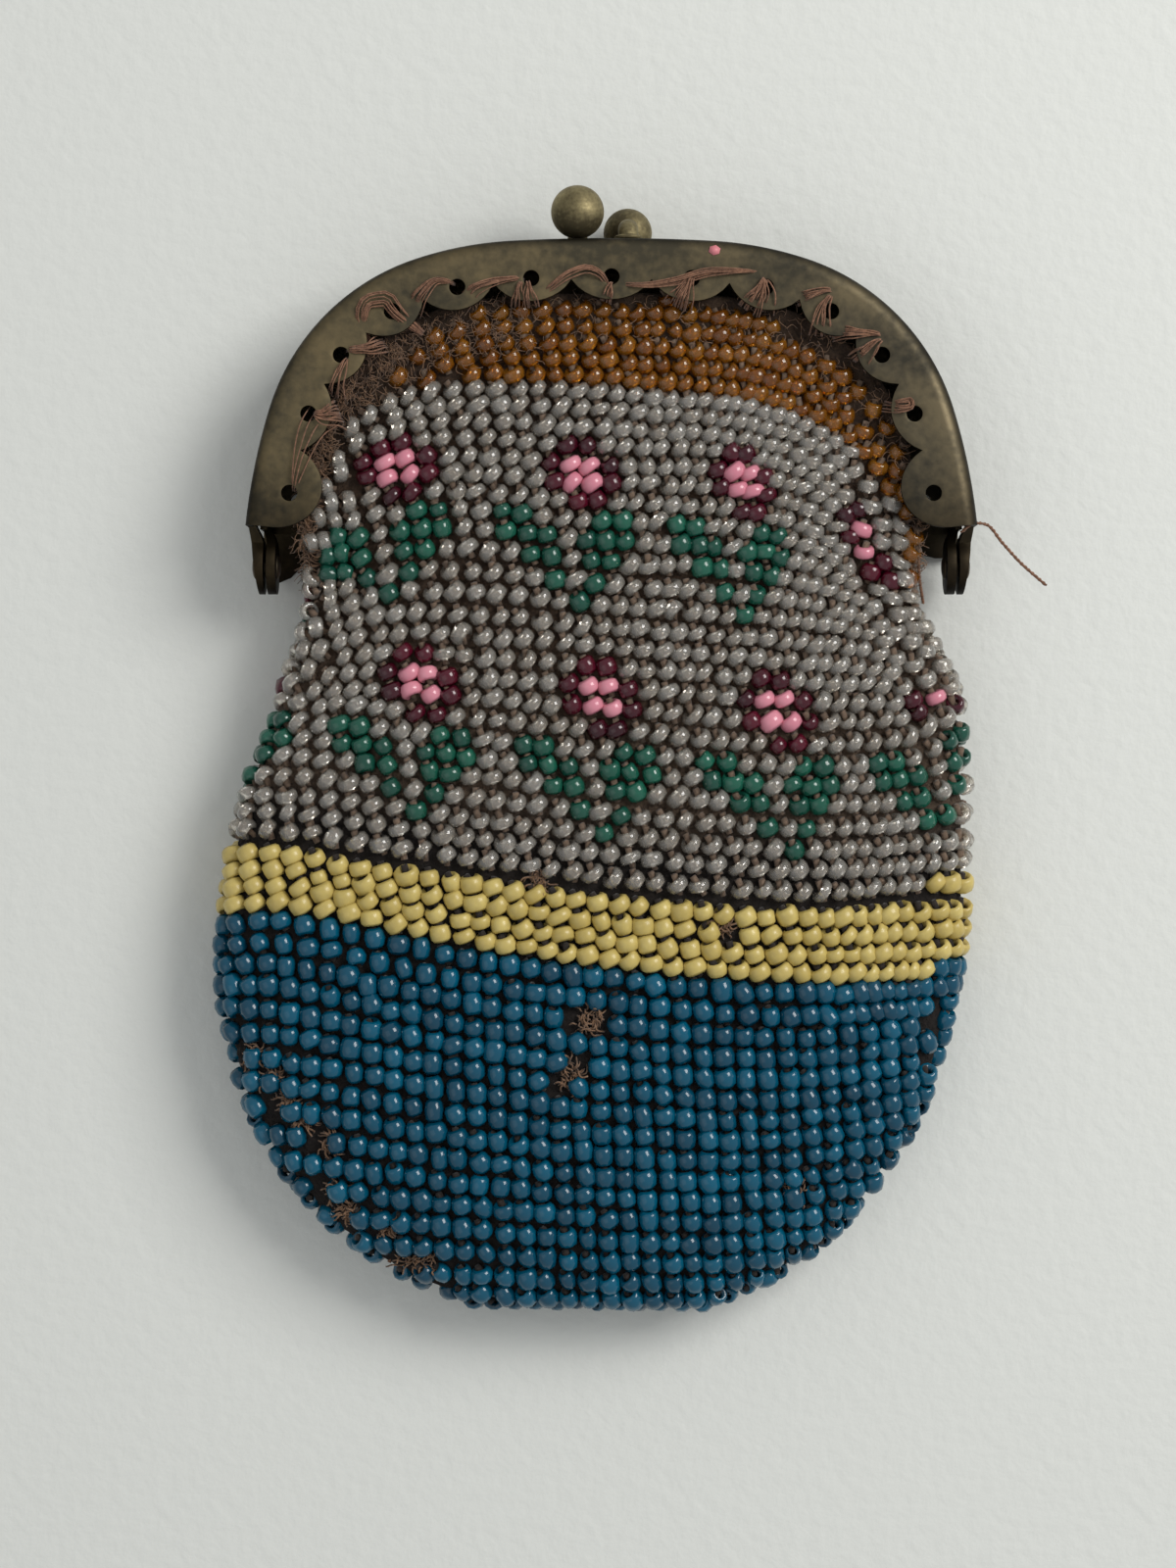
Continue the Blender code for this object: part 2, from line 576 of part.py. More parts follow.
class Bag:
    """Bead-crochet bag: closed rows whose top one follows the sewing edge of both frame halves."""

    def __init__(self):
        self.edge_b = HALF_DEPTH - SHEET - 2 * THREAD_GAP - 2 * THREAD_RADIUS
        self.top = ARCH.crown - EDGE_DEPTH
        self.rows = sum(zone[1] for zone in ROW_ZONES)
        self.row_starts = [0.0]
        for _, count, pitch, _ in ROW_ZONES:
            self.row_starts += [self.row_starts[-1] + pitch * (k + 1) for k in range(count)]
        self.stretch = (self.top + BAG_DEPTH - SEAM_TRIM) / self.row_starts[-1]

    def row_depth(self, row):
        """Depth below the hinge line of a row place, which may lie between two rows."""
        whole = min(int(row), self.rows - 1)
        start = self.row_starts[whole]
        reach = start + (row - whole) * (self.row_starts[whole + 1] - start)
        return reach * self.stretch - self.top

    def side_x(self, depth, side):
        """x of the bag's edge at a depth below the hinge line."""
        table, belly, power = ((RIGHT_SIDE, RIGHT_BELLY, RIGHT_ROUND) if side > 0
                               else (LEFT_SIDE, LEFT_BELLY, LEFT_ROUND))
        if depth <= belly:
            return side * (ARCH.leg_x + smooth_table(table, depth))
        widest = side * (ARCH.leg_x + table[-1][1])
        share = min((depth - belly) / (BAG_DEPTH - belly), 1.0)
        return MIDDLE_OFFSET + (widest - MIDDLE_OFFSET) * (1 - share ** power) ** (1 / power)

    def half_thickness(self, depth):
        """Half of the bag's thickness at a depth below the hinge line."""
        rise = min(max(depth, 0.0) / LEFT_BELLY, 1.0)
        full = WAIST_HALF_THICKNESS + (BAG_HALF_THICKNESS - WAIST_HALF_THICKNESS) * math.sin(rise * math.pi / 2)
        share = min(max((depth - THICKNESS_FALL) / (BAG_DEPTH - THICKNESS_FALL), 0.0), 1.0)
        return max(full * (1 - share ** THICKNESS_ROUND) ** (1 / THICKNESS_ROUND), BEAD_RADIUS)

    def dip(self, share, depth):
        """How far a row hangs down at a share of the width from the left."""
        if share < DIP_PLACE:
            form = math.sin(math.pi / 2 * share / DIP_PLACE) ** DIP_POWER
        else:
            form = 1 - DIP_RETURN * ((share - DIP_PLACE) / (1 - DIP_PLACE)) ** 2
        return ROW_DIP * form * smooth_table(DIP_FADE, depth)

    def section_point(self, angle, hang, inset):
        """Point of the rounded section at a depth. angle 0 is the right side and 180 degrees the left."""
        outwards = math.copysign(abs(math.sin(angle)) ** SECTION_ROUND, math.sin(angle))
        left = self.side_x(hang, -1) + inset
        right = self.side_x(hang, 1) - inset
        thick = max(self.half_thickness(hang) - inset, LEAST_HALF_THICKNESS)
        return Vector((left + (right - left) * self.across(angle), -hang, outwards * thick))

    @staticmethod
    def across(angle):
        """Share of the width from the left at an angle round the bag."""
        return (1 + math.copysign(abs(math.cos(angle)) ** SECTION_ROUND, math.cos(angle))) / 2

    def row_hang(self, angle, depth):
        """Depth of a row at an angle round the bag, with the row's dip towards the right."""
        return depth + self.dip(self.across(angle), depth)

    def edge_point(self, angle, inset):
        """Point of the sewn top edge: under the front plate, round the hinge, under the back plate."""
        face = 1.0 if angle <= math.pi else -1.0
        turn = angle if face > 0 else 2 * math.pi - angle
        gather = math.radians(GATHER_ANGLE)
        from_side = min(turn, math.pi - turn)
        ease = math.sin(min(from_side / gather, 1.0) * math.pi / 2)
        side = 1.0 if turn < math.pi / 2 else -1.0
        share = max(from_side - gather, 0.0) / (math.pi / 2 - gather)
        along = EDGE_START + (ARCH.half_length - EDGE_START) * share
        x, a = ARCH.at(ARCH.half_length + side * (ARCH.half_length - along), EDGE_DEPTH)
        low_x = side * (ARCH.leg_x - SIDE_CLEARANCE)
        x = low_x + (x - low_x) * ease
        a = -SIDE_DROP + (a + SIDE_DROP) * (1 - math.cos(math.asin(ease)))
        side_lean = math.cos(math.asin(ease))
        return Vector((x - side * inset * side_lean, a, face * (self.edge_b - inset) * ease))

    def point(self, angle, row, inset, edge_inset):
        """Point of the bag's surface at an angle round it and a row place, moved inwards by inset."""
        depth = self.row_depth(row)
        if depth >= WAIST_DEPTH:
            return self.section_point(angle, self.row_hang(angle, depth), inset)
        share = (depth + self.top) / (WAIST_DEPTH + self.top)
        edge = self.edge_point(angle, edge_inset)
        height = edge.y + (-self.row_hang(angle, WAIST_DEPTH) - edge.y) * share
        section = self.section_point(angle, -height, inset)
        ease = share + share ** 2 - share ** 3
        return Vector((edge.x + (section.x - edge.x) * ease, height, edge.z + (section.z - edge.z) * ease))

    def ridge(self, angle, row):
        """Depth of the groove between two bead rows, shallower where rows are gathered."""
        middle = min(max(row, 0.5), self.rows - 0.5)
        step = (self.point(angle, middle + 0.5, 0, 0) - self.point(angle, middle - 0.5, 0, 0)).length
        return RIDGE_DEPTH * min(step / (2 * BEAD_RADIUS), 1.0)

    def mesh(self):
        """Points, faces and colour slot of each face of the ridged wall."""
        angles = [2 * math.pi * j / COLUMNS for j in range(COLUMNS)]
        places = [0.0]
        for row in range(self.rows):
            places += [row + 0.5, row + 1.0]
        points = []
        for place in places:
            groove = place == int(place)
            for angle in angles:
                inset = self.ridge(angle, place) if groove else 0.0
                points.append(self.point(angle, place, inset, inset))
        outer_count = len(places)
        last_inner = self.rows - FLOOR_ROWS
        for k in range(INNER_RINGS + 1):
            for angle in angles:
                points.append(self.point(angle, last_inner * k / INNER_RINGS, WALL, EDGE_WALL))
        faces = []
        slots = []
        zone_of_row = [slot for slot, zone in enumerate(ROW_ZONES) for _ in range(zone[1])]

        def band(first, second, slot):
            for j in range(COLUMNS):
                after = (j + 1) % COLUMNS
                faces.append((first + j, first + after, second + after, second + j))
                slots.append(slot)

        def floor(first, slot):
            half = COLUMNS // 2
            for j in range(half):
                mirrored = [(COLUMNS - j) % COLUMNS, (COLUMNS - j - 1) % COLUMNS]
                corners = [j, j + 1, mirrored[1], mirrored[0]]
                faces.append(tuple(dict.fromkeys(first + c for c in corners)))
                slots.append(slot)

        for k in range(outer_count - 1):
            band(k * COLUMNS, (k + 1) * COLUMNS, zone_of_row[k // 2])
        inner_start = outer_count * COLUMNS
        for k in range(INNER_RINGS):
            band(inner_start + k * COLUMNS, inner_start + (k + 1) * COLUMNS, 0)
        band(0, inner_start, 0)
        floor((outer_count - 1) * COLUMNS, len(ROW_ZONES) - 1)
        floor(inner_start + INNER_RINGS * COLUMNS, 0)
        return points, faces, slots


def edge_depth(along):
    """Depth of the scalloped edge at a length along the outline."""
    edge = scallops()
    for (start, first), (end, last) in zip(edge, edge[1:]):
        if start <= along <= end:
            return first + (last - first) * (along - start) / max(end - start, 1e-9)
    return END_LOBE_DEPTH


def stitch_place(k):
    """Length along the outline at which the thread from hole k passes over the scalloped edge."""
    lengths = hole_lengths()
    lean = STITCH_LEAN * LOBE_PITCH
    if k == 0:
        return END_TIP - lean / 2
    if k == HOLE_COUNT - 1:
        return ARCH.length - END_TIP + lean / 2
    return lengths[k] + lean


def stitch_path(face, first, last):
    """Running whip stitch: up through each hole, over the scalloped edge and back under the plate."""
    high = HALF_DEPTH + THREAD_GAP + THREAD_RADIUS
    low = HALF_DEPTH - SHEET - THREAD_GAP - THREAD_RADIUS
    lengths = hole_lengths()
    path = []
    for k in range(first, last + 1):
        hole = ARCH.at(lengths[k], HOLE_DEPTH)
        place = stitch_place(k)
        over = ARCH.at(place, edge_depth(place) + STITCH_REACH)
        run = Vector((over[0] - hole[0], over[1] - hole[1])).normalized() * STITCH_CORNER
        path.append((hole[0], hole[1], face * low))
        path.append((hole[0], hole[1], face * (high - STITCH_CORNER)))
        path.append((hole[0] + run.x, hole[1] + run.y, face * high))
        path.append((over[0] - run.x, over[1] - run.y, face * high))
        path.append((over[0], over[1], face * (high - STITCH_CORNER)))
        path.append((over[0], over[1], face * (low + STITCH_CORNER)))
        if k < last:
            following = ARCH.at(lengths[k + 1], HOLE_DEPTH)
            onward = Vector((following[0] - over[0], following[1] - over[1])).normalized() * STITCH_CORNER
            path.append((over[0] + onward.x, over[1] + onward.y, face * low))
    return path


def front_tail():
    """Loose end of the front thread, out past the right leg end and down beside the bag."""
    return [(ARCH.leg_x + outset, LEG_RISE + rise, lift) for outset, rise, lift in FRONT_TAIL]


def build():
    """Make every piece of the purse."""
    for thing in list(bpy.data.objects):
        bpy.data.objects.remove(thing, do_unlink=True)
    brass = material("tarnished_brass", (0.16, 0.13, 0.075), 0.42, 1.0)
    ball_brass = material("ball_brass", (0.24, 0.20, 0.11), 0.33, 1.0)
    rivet_metal = material("rivet_metal", (0.10, 0.085, 0.07), 0.5, 1.0)
    copper_thread = material("copper_brown_thread", (0.28, 0.13, 0.07), 0.85)
    root = add_pivot("back_half_pivot")
    front = add_pivot("front_half_pivot")

    front_ball_x = BALL_PAIR_OFFSET + BALL_SPACING / 2
    back_ball_x = BALL_PAIR_OFFSET - BALL_SPACING / 2
    frame_half("frame_front_half", front, 0.0, CLOSING_GAP / 2, 1, HINGE_X, brass, front_ball_x)
    back_lug = HINGE_X - LUG_THICKNESS - LUG_GAP
    heels = ((-1, LEFT_HEEL), (1, RIGHT_HEEL))
    frame_half("frame_back_half", root, NEST_INSET, -LAP, -1, back_lug, brass, back_ball_x, heels)

    back_wall = ARCH.crown - NEST_INSET
    deep_centre = back_wall + BALL_GAP + FRONT_BALL_RADIUS
    near_centre = ARCH.crown + BALL_GAP + BACK_BALL_RADIUS
    points, faces = ball_and_post(ARCH.crown, 1, front_ball_x, FRONT_BALL_RADIUS, deep_centre)
    add_object("clasp_ball_front", points, faces, [ball_brass], front)
    points, faces = ball_and_post(back_wall, -1, back_ball_x, BACK_BALL_RADIUS, near_centre)
    add_object("clasp_ball_back", points, faces, [ball_brass], root)

    for side, word in ((-1, "left"), (1, "right")):
        add_object(f"hinge_rivet_{word}", *hinge_rivet(side), [rivet_metal], root)

    points, faces, slots = Bag().mesh()
    bead_glass = [material(f"bead_rows_{name}", colour, 0.3) for name, _, _, colour in ROW_ZONES]
    add_object("beaded_bag", points, faces, bead_glass, root, slots)

    front_path = stitch_path(1, 0, HOLE_COUNT - 2) + front_tail()
    points, faces = tube(front_path, [THREAD_RADIUS] * len(front_path), THREAD_SIDES)
    add_object("sewing_thread_front", points, faces, [copper_thread], front)
    back_path = stitch_path(-1, 0, HOLE_COUNT - 1)
    points, faces = tube(back_path, [THREAD_RADIUS] * len(back_path), THREAD_SIDES)
    add_object("sewing_thread_back", points, faces, [copper_thread], root)


build()
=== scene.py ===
"""Looks of the beaded frame purse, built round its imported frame.

The purse lies on its back, closed. Classes hold millimetres, meshes hold metres. A frame point is
(x, a, b): x from the middle of the frame, a above the hinge line towards the clasp, and b above the
closing plane of the two frame halves. Angles round the bag run from pi at its left side through the
front to 0 at its right side and on through the back to -pi.
"""
import json
import logging
import math
from dataclasses import dataclass
from enum import Enum

import bpy
import numpy as np
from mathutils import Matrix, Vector


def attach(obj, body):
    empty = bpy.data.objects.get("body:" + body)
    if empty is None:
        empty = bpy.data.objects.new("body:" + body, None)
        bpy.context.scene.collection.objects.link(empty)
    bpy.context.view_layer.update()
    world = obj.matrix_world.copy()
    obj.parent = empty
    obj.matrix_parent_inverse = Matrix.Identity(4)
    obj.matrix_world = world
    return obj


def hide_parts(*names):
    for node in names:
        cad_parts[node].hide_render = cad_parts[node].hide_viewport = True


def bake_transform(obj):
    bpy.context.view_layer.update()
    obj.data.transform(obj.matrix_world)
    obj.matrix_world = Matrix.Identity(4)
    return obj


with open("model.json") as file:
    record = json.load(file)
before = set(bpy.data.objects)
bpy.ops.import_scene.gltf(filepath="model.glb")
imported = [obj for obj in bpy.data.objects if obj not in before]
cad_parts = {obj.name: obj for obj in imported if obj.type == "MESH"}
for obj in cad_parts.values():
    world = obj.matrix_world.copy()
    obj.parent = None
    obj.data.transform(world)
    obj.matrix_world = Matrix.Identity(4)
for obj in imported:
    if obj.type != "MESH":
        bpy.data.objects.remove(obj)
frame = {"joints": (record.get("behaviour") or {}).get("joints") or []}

Array = np.ndarray
Colour = tuple[float, float, float]
Socket = bpy.types.NodeSocket
Tree = bpy.types.NodeTree
Material = bpy.types.Material
Piece = bpy.types.Object
Table = tuple[tuple[float, float], ...]
Tube = tuple[Array, Array, Array]

MM = 0.001
HINGE = np.array(frame["joints"][0]["pos_m"])

log = logging.getLogger("beaded_purse")


def in_metres(points: Array) -> Array:
    """Place frame points in the part's own frame.

    Args:
        points: Frame points in millimetres, last axis (x, a, b).

    Returns:
        The same points in metres, moved to the hinge line.
    """
    return np.asarray(points, float) * MM + HINGE


def unit(vectors: Array) -> Array:
    """Vectors over their own length."""
    return vectors / np.maximum(np.linalg.norm(vectors, axis=-1, keepdims=True), 1e-9)


def signed_power(values: Array, power: float) -> Array:
    """Power of each value's size, with the value's own sign."""
    return np.sign(values) * np.abs(values) ** power


def superellipse(share: Array, power: float) -> Array:
    """Height of a superellipse of half axes 1 over a share of its half width."""
    return (1 - share ** power) ** (1 / power)


def lengths(points: Array) -> Array:
    """Length along a line of points at each of them."""
    return np.concatenate([[0], np.cumsum(np.linalg.norm(np.diff(points, axis=0), axis=1))])


def smooth_table(table: Table, at: Array) -> Array:
    """Read a short table along a monotone cubic.

    Each stretch is the Hermite cubic whose end slopes are the harmonic means of the slopes beside them.

    Args:
        table: Rising places, each with its value.
        at: Places to read.

    Returns:
        The values there, held at both ends of the table.
    """
    places, values = np.array(table, float).T
    slopes = np.diff(values) / np.diff(places)
    same_way = slopes[:-1] * slopes[1:] > 0
    total = np.where(same_way, slopes[:-1] + slopes[1:], 1.0)
    middle = np.where(same_way, 2 * slopes[:-1] * slopes[1:] / total, 0.0)
    tangents = np.concatenate([slopes[:1], middle, slopes[-1:]])
    held = np.clip(at, places[0], places[-1])
    k = np.clip(np.searchsorted(places, held, side="right") - 1, 0, len(slopes) - 1)
    span = places[k + 1] - places[k]
    t = (held - places[k]) / span
    return (values[k] * (1 + 2 * t) * (1 - t) ** 2 + values[k + 1] * t * t * (3 - 2 * t)
            + tangents[k] * span * t * (1 - t) ** 2 - tangents[k + 1] * span * t * t * (1 - t))


def grid_faces(rows: int, columns: int, round_columns: bool = False, round_rows: bool = False) -> Array:
    """Four-cornered faces of a grid of points.

    Args:
        rows: Points along the first axis.
        columns: Points along the second axis.
        round_columns: Whether the last column joins the first one.
        round_rows: Whether the last row joins the first one.

    Returns:
        Point numbers of each face, turned so that column times row points outwards.
    """
    across = np.arange(columns if round_columns else columns - 1)
    down = np.arange(rows if round_rows else rows - 1)
    k, j = np.meshgrid(down, across, indexing="ij")
    after_j = (j + 1) % columns
    after_k = (k + 1) % rows
    faces = np.stack([k * columns + j, k * columns + after_j,
                      after_k * columns + after_j, after_k * columns + j], axis=-1)
    return faces.reshape(-1, 4)


def tube_faces(rows: int, sides: int) -> list[Array]:
    """Side faces of a tube of rings and the two flat faces that close it."""
    ring = np.arange(sides)
    return [grid_faces(rows, sides, round_columns=True), np.stack([ring[::-1], (rows - 1) * sides + ring])]


def repeated(faces: Array, count: int, each: int) -> Array:
    """The same faces for each of a number of like bodies of so many points."""
    return (faces[None] + each * np.arange(count)[:, None, None]).reshape(-1, faces.shape[1])


def closed_sheet(outer: Array, inner: Array) -> tuple[Array, Array]:
    """Close two skins of a sheet, given as grids of points, with a strip along each edge.

    Returns:
        Points and four-cornered faces.
    """
    loop = np.concatenate([outer, inner[::-1]])
    rows, columns = loop.shape[:2]
    k = np.arange(rows // 2 - 1)
    left = np.stack([k, k + 1, rows - 2 - k, rows - 1 - k], -1) * columns
    right = left[:, ::-1] + columns - 1
    return loop.reshape(-1, 3), np.concatenate([grid_faces(rows, columns, round_rows=True), left, right])


def circle(sides: int) -> tuple[Array, Array]:
    """Cosine and sine of evenly spread angles."""
    turn = 2 * math.pi * np.arange(sides) / sides
    return np.cos(turn), np.sin(turn)


def new_piece(name: str, points: Array, face_sets: list[Array], finish: Material,
              attributes: dict[str, Array] | None = None) -> Piece:
    """Make one mesh object from whole arrays.

    Args:
        name: The piece's name.
        points: Frame points in millimetres.
        face_sets: Arrays of faces, each array with one number of corners.
        finish: Its material.
        attributes: Number of each point, by attribute name.

    Returns:
        The object, at the origin.
    """
    corners = np.concatenate([faces.ravel() for faces in face_sets]).astype(np.int32)
    sizes = np.concatenate([np.full(len(faces), faces.shape[1]) for faces in face_sets])
    starts = np.concatenate([[0], np.cumsum(sizes)[:-1]]).astype(np.int32)
    mesh = bpy.data.meshes.new(name)
    mesh.vertices.add(len(points))
    mesh.vertices.foreach_set("co", in_metres(points).astype(np.float32).ravel())
    mesh.loops.add(len(corners))
    mesh.loops.foreach_set("vertex_index", corners)
    mesh.polygons.add(len(sizes))
    mesh.polygons.foreach_set("loop_start", starts)
    mesh.polygons.foreach_set("use_smooth", np.ones(len(sizes), bool))
    mesh.update(calc_edges=True)
    for key, values in (attributes or {}).items():
        attribute = mesh.attributes.new(key, "FLOAT", "POINT")
        attribute.data.foreach_set("value", np.asarray(values, np.float32))
    mesh.validate()
    mesh.materials.append(finish)
    piece = bpy.data.objects.new(name, mesh)
    bpy.context.scene.collection.objects.link(piece)
    return piece


class Part(Enum):
    """Where a loose piece rides."""

    ROOT = ROOT
    FRONT = FRONT
    FRONT_WALL = "between them"


@dataclass(frozen=True)
class HingeBlend:
    """Direction and reach of the change between the two halves.

    lean, first and last are meant for the measure a + lean b of a point: below first it would follow the
    back half, above last the front half. apply does not read them and only bakes the piece's transform.
    """

    lean: float = 2.0
    first: float = 0.0
    last: float = 12.0

    def apply(self, piece: Piece) -> None:
        """Bake the piece's transform into its mesh; the piece does not follow either half."""
        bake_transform(piece)


def settle(piece: Piece, part: Part, slot: str, *nodes: str) -> None:
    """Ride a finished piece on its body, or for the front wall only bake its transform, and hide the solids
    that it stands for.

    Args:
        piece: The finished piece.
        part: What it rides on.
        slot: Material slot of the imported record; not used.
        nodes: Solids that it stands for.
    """
    if part is Part.FRONT_WALL:
        HingeBlend().apply(piece)
    else:
        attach(piece, part.value)
    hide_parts(*nodes)
    log.info("%s: %d faces", piece.name, len(piece.data.polygons))


class Nodes:
    """Short ways to add and join the nodes of one tree."""

    def __init__(self, tree: Tree) -> None:
        """Take the tree."""
        self.tree = tree

    def fill(self, socket: object, value: float | Colour | Socket) -> None:
        """Join a socket to another node's output, or give it a number or a colour."""
        if isinstance(value, Socket):
            self.tree.links.new(value, socket)
        else:
            socket.default_value = (*value, 1.0) if isinstance(value, tuple) else value

    def add(self, kind: str, inputs: dict[str | int, object], **settings: object) -> bpy.types.Node:
        """Add a node, set its properties and then fill its inputs."""
        node = self.tree.nodes.new(f"ShaderNode{kind}")
        for key, value in settings.items():
            setattr(node, key, value)
        for key, value in inputs.items():
            self.fill(node.inputs[key], value)
        return node

    def noise(self, scale: float | Socket, detail: float, roughness: float = 0.5,
              distortion: float = 0.0) -> Socket:
        """Noise over the object coordinates."""
        place = self.add("TexCoord", {}).outputs["Object"]
        node = self.add("TexNoise", {"Vector": place, "Scale": scale, "Detail": detail,
                                     "Roughness": roughness, "Distortion": distortion})
        return node.outputs["Fac"]

    def math(self, operation: str, *values: float | Socket) -> Socket:
        """Result of one calculation."""
        return self.add("Math", dict(enumerate(values)), operation=operation).outputs[0]

    def ramp(self, value: Socket, start: float, end: float, top: float = 1.0,
             kind: str = "LINEAR") -> Socket:
        """How far a value has come from start to end, times top."""
        node = self.add("MapRange", {"Value": value, "From Min": start, "From Max": end, "To Max": top},
                        interpolation_type=kind)
        return node.outputs["Result"]

    def mix(self, share: float | Socket, first: Colour | Socket, second: Colour | Socket,
            blend: str = "MIX") -> Socket:
        """Mix two colours."""
        node = self.add("Mix", {"Factor": share, "A": first, "B": second},
                        data_type="RGBA", blend_type=blend)
        return node.outputs["Result"]


class Shader(Nodes):
    """One material with its Principled shader."""

    def __init__(self, name: str) -> None:
        """Make the material."""
        self.material = bpy.data.materials.new(name)
        self.material.use_nodes = True
        super().__init__(self.material.node_tree)
        self.surface = self.tree.nodes["Principled BSDF"]

    def attribute(self, name: str) -> Socket:
        """Number that the mesh holds under that name."""
        return self.add("Attribute", {}, attribute_name=name).outputs["Fac"]

    def effect(self, tree: Tree, **values: object) -> bpy.types.bpy_prop_collection:
        """Outputs of a shared effect with its own values."""
        inputs = {key.capitalize(): value for key, value in values.items()}
        return self.add("Group", inputs, node_tree=tree).outputs

    def bump(self, height: Socket, strength: float, distance: float) -> None:
        """Stand the surface in relief, over a distance in millimetres."""
        relief = self.add("Bump", {"Height": height, "Strength": strength, "Distance": distance * MM})
        self.fill(self.surface.inputs["Normal"], relief.outputs["Normal"])

    def done(self, **values: float | Colour | Socket) -> Material:
        """Fill the shader's own sockets and hand over the material."""
        for key, value in values.items():
            self.fill(self.surface.inputs[key.replace("_", " ").title().replace("Ior", "IOR")], value)
        return self.material


class Effect(Nodes):
    """One shared node group."""

    def __init__(self, name: str, **inputs: float | Colour) -> None:
        """Make the group with a starting value for each input."""
        super().__init__(bpy.data.node_groups.new(name, "ShaderNodeTree"))
        for key, value in inputs.items():
            kind = "NodeSocketFloat" if isinstance(value, float) else "NodeSocketColor"
            self.fill(self.tree.interface.new_socket(key, in_out="INPUT", socket_type=kind), value)
        self.given = self.tree.nodes.new("NodeGroupInput").outputs

    def done(self, **results: Socket) -> Tree:
        """Put out the results and hand over the group."""
        for key, result in results.items():
            kind = "NodeSocketColor" if result.type == "RGBA" else "NodeSocketFloat"
            self.tree.interface.new_socket(key, in_out="OUTPUT", socket_type=kind)
        end = self.tree.nodes.new("NodeGroupOutput")
        for key, result in results.items():
            self.fill(end.inputs[key], result)
        return self.tree


def patina_effect() -> Tree:
    """Cloudy tarnish: two colours mixed by a broad and a fine noise, with a rougher dull part."""
    effect = Effect("patina", Scale=120.0, Bright=(0.3, 0.25, 0.14), Dull=(0.1, 0.09, 0.06),
                    Balance=0.5, Shine=0.35, Dullness=0.6)
    given = effect.given
    broad = effect.noise(given["Scale"], 5.0, 0.62)
    fine = effect.noise(effect.math("MULTIPLY", given["Scale"], 11.0), 3.0)
    both = effect.math("MULTIPLY_ADD", fine, 0.32, broad)
    spread = effect.ramp(effect.math("SUBTRACT", both, given["Balance"]), 0.02, 0.32)
    colour = effect.mix(spread, given["Dull"], given["Bright"])
    shine = effect.add("Mix", {"Factor": spread, "A": given["Dullness"], "B": given["Shine"]})
    return effect.done(Colour=colour, Roughness=shine.outputs["Result"], Height=fine)


def fibre_effect() -> Tree:
    """Spun yarn: two colours mixed by one fine distorted noise."""
    effect = Effect("fibre", Scale=900.0, Light=(0.3, 0.16, 0.09), Dark=(0.08, 0.04, 0.02))
    hairs = effect.noise(effect.given["Scale"], 4.0, 0.7, 1.6)
    spread = effect.ramp(hairs, 0.34, 0.68)
    return effect.done(Colour=effect.mix(spread, effect.given["Dark"], effect.given["Light"]), Height=hairs)


@dataclass(frozen=True)
class BrassFinish:
    """Old brass with brown tarnish, duller in patches, finely pitted, and where turned on, painted shade at
    the hinges, on the right and on the rim.
    """

    name: str
    bright: Colour
    dull: Colour
    scale: float = 120.0
    # Whether the brass gets the hinge browning, the greying to the right and the darker rim, partly painted
    # shade
    tarnishes_and_shades: bool = False
    balance: float = 0.5
    shine: float = 0.5
    dullness: float = 0.7
    pitting: float = 0.12
    metallic: float = 0.9
    # Near the hinges the metal is browned: partly brown tarnish, partly painted shade of the hinge hollows
    brown: Colour = (0.14, 0.11, 0.085)
    hinge_brown_and_shade_share: float = 0.9
    hinge_brown_and_shade_reach: tuple[float, float] = (11.0, -1.0)
    # Towards the right the metal is greyed blue-grey: partly grey tarnish, partly painted shade
    grey: Colour = (0.62, 0.66, 0.78)
    grey_and_shade_share: float = 0.75
    grey_and_shade_reach: float = 28.0
    # Painted shade on the rounded rim: the colour darkens where faces turn away from up
    rim: Colour = (0.19, 0.175, 0.145)
    rim_shade_share: float = 0.95
    rim_shade_facing: tuple[float, float] = (0.995, 0.5)

    def _tarnished_and_shaded(self, shader: Shader, colour: Socket) -> Socket:
        """Brown the metal near the hinges and grey it towards the right, each partly tarnish and partly
        painted shade, and paint shade on its rounded rim.
        """
        coordinates = shader.add("TexCoord", {}).outputs
        place = shader.add("SeparateXYZ", {"Vector": coordinates["Object"]}).outputs
        facing = shader.add("SeparateXYZ", {"Vector": coordinates["Normal"]}).outputs
        high, low = (HINGE[1] + reach * MM for reach in self.hinge_brown_and_shade_reach)
        # Each tone multiplies the colour: hinge browning and right greying are partly painted shade, the rim
        # darkening is painted shade
        tones = ((place["Y"], high, low, self.hinge_brown_and_shade_share, self.brown),
                 (place["X"], HINGE[0], HINGE[0] + self.grey_and_shade_reach * MM, self.grey_and_shade_share, self.grey),
                 (shader.math("ABSOLUTE", facing["Z"]), *self.rim_shade_facing, self.rim_shade_share, self.rim))
        for value, start, end, share, tint in tones:
            reach = shader.ramp(value, start, end, share, "SMOOTHSTEP")
            colour = shader.mix(reach, colour, tint, "MULTIPLY")
        return colour

    def material(self, patina: Tree) -> Material:
        """Make the finish from the shared patina."""
        shader = Shader(self.name)
        metal = shader.effect(patina, scale=self.scale, bright=self.bright, dull=self.dull,
                              balance=self.balance, shine=self.shine, dullness=self.dullness)
        # Tarnish and painted shade over the patina, for the frame's brass
        colour = self._tarnished_and_shaded(shader, metal["Colour"]) if self.tarnishes_and_shades else metal["Colour"]
        shader.bump(metal["Height"], self.pitting, 0.1)
        return shader.done(base_color=colour, roughness=metal["Roughness"], metallic=self.metallic)


@dataclass(frozen=True)
class YarnFinish:
    """Matt spun yarn or fuzz."""

    name: str
    light: Colour
    dark: Colour
    scale: float = 1500.0
    relief: float = 0.3

    def material(self, fibre: Tree) -> Material:
        """Make the finish from the shared fibre effect."""
        shader = Shader(self.name)
        yarn = shader.effect(fibre, scale=self.scale, light=self.light, dark=self.dark)
        shader.bump(yarn["Height"], self.relief, 0.3)
        return shader.done(base_color=yarn["Colour"], roughness=0.9, sheen_weight=0.15)


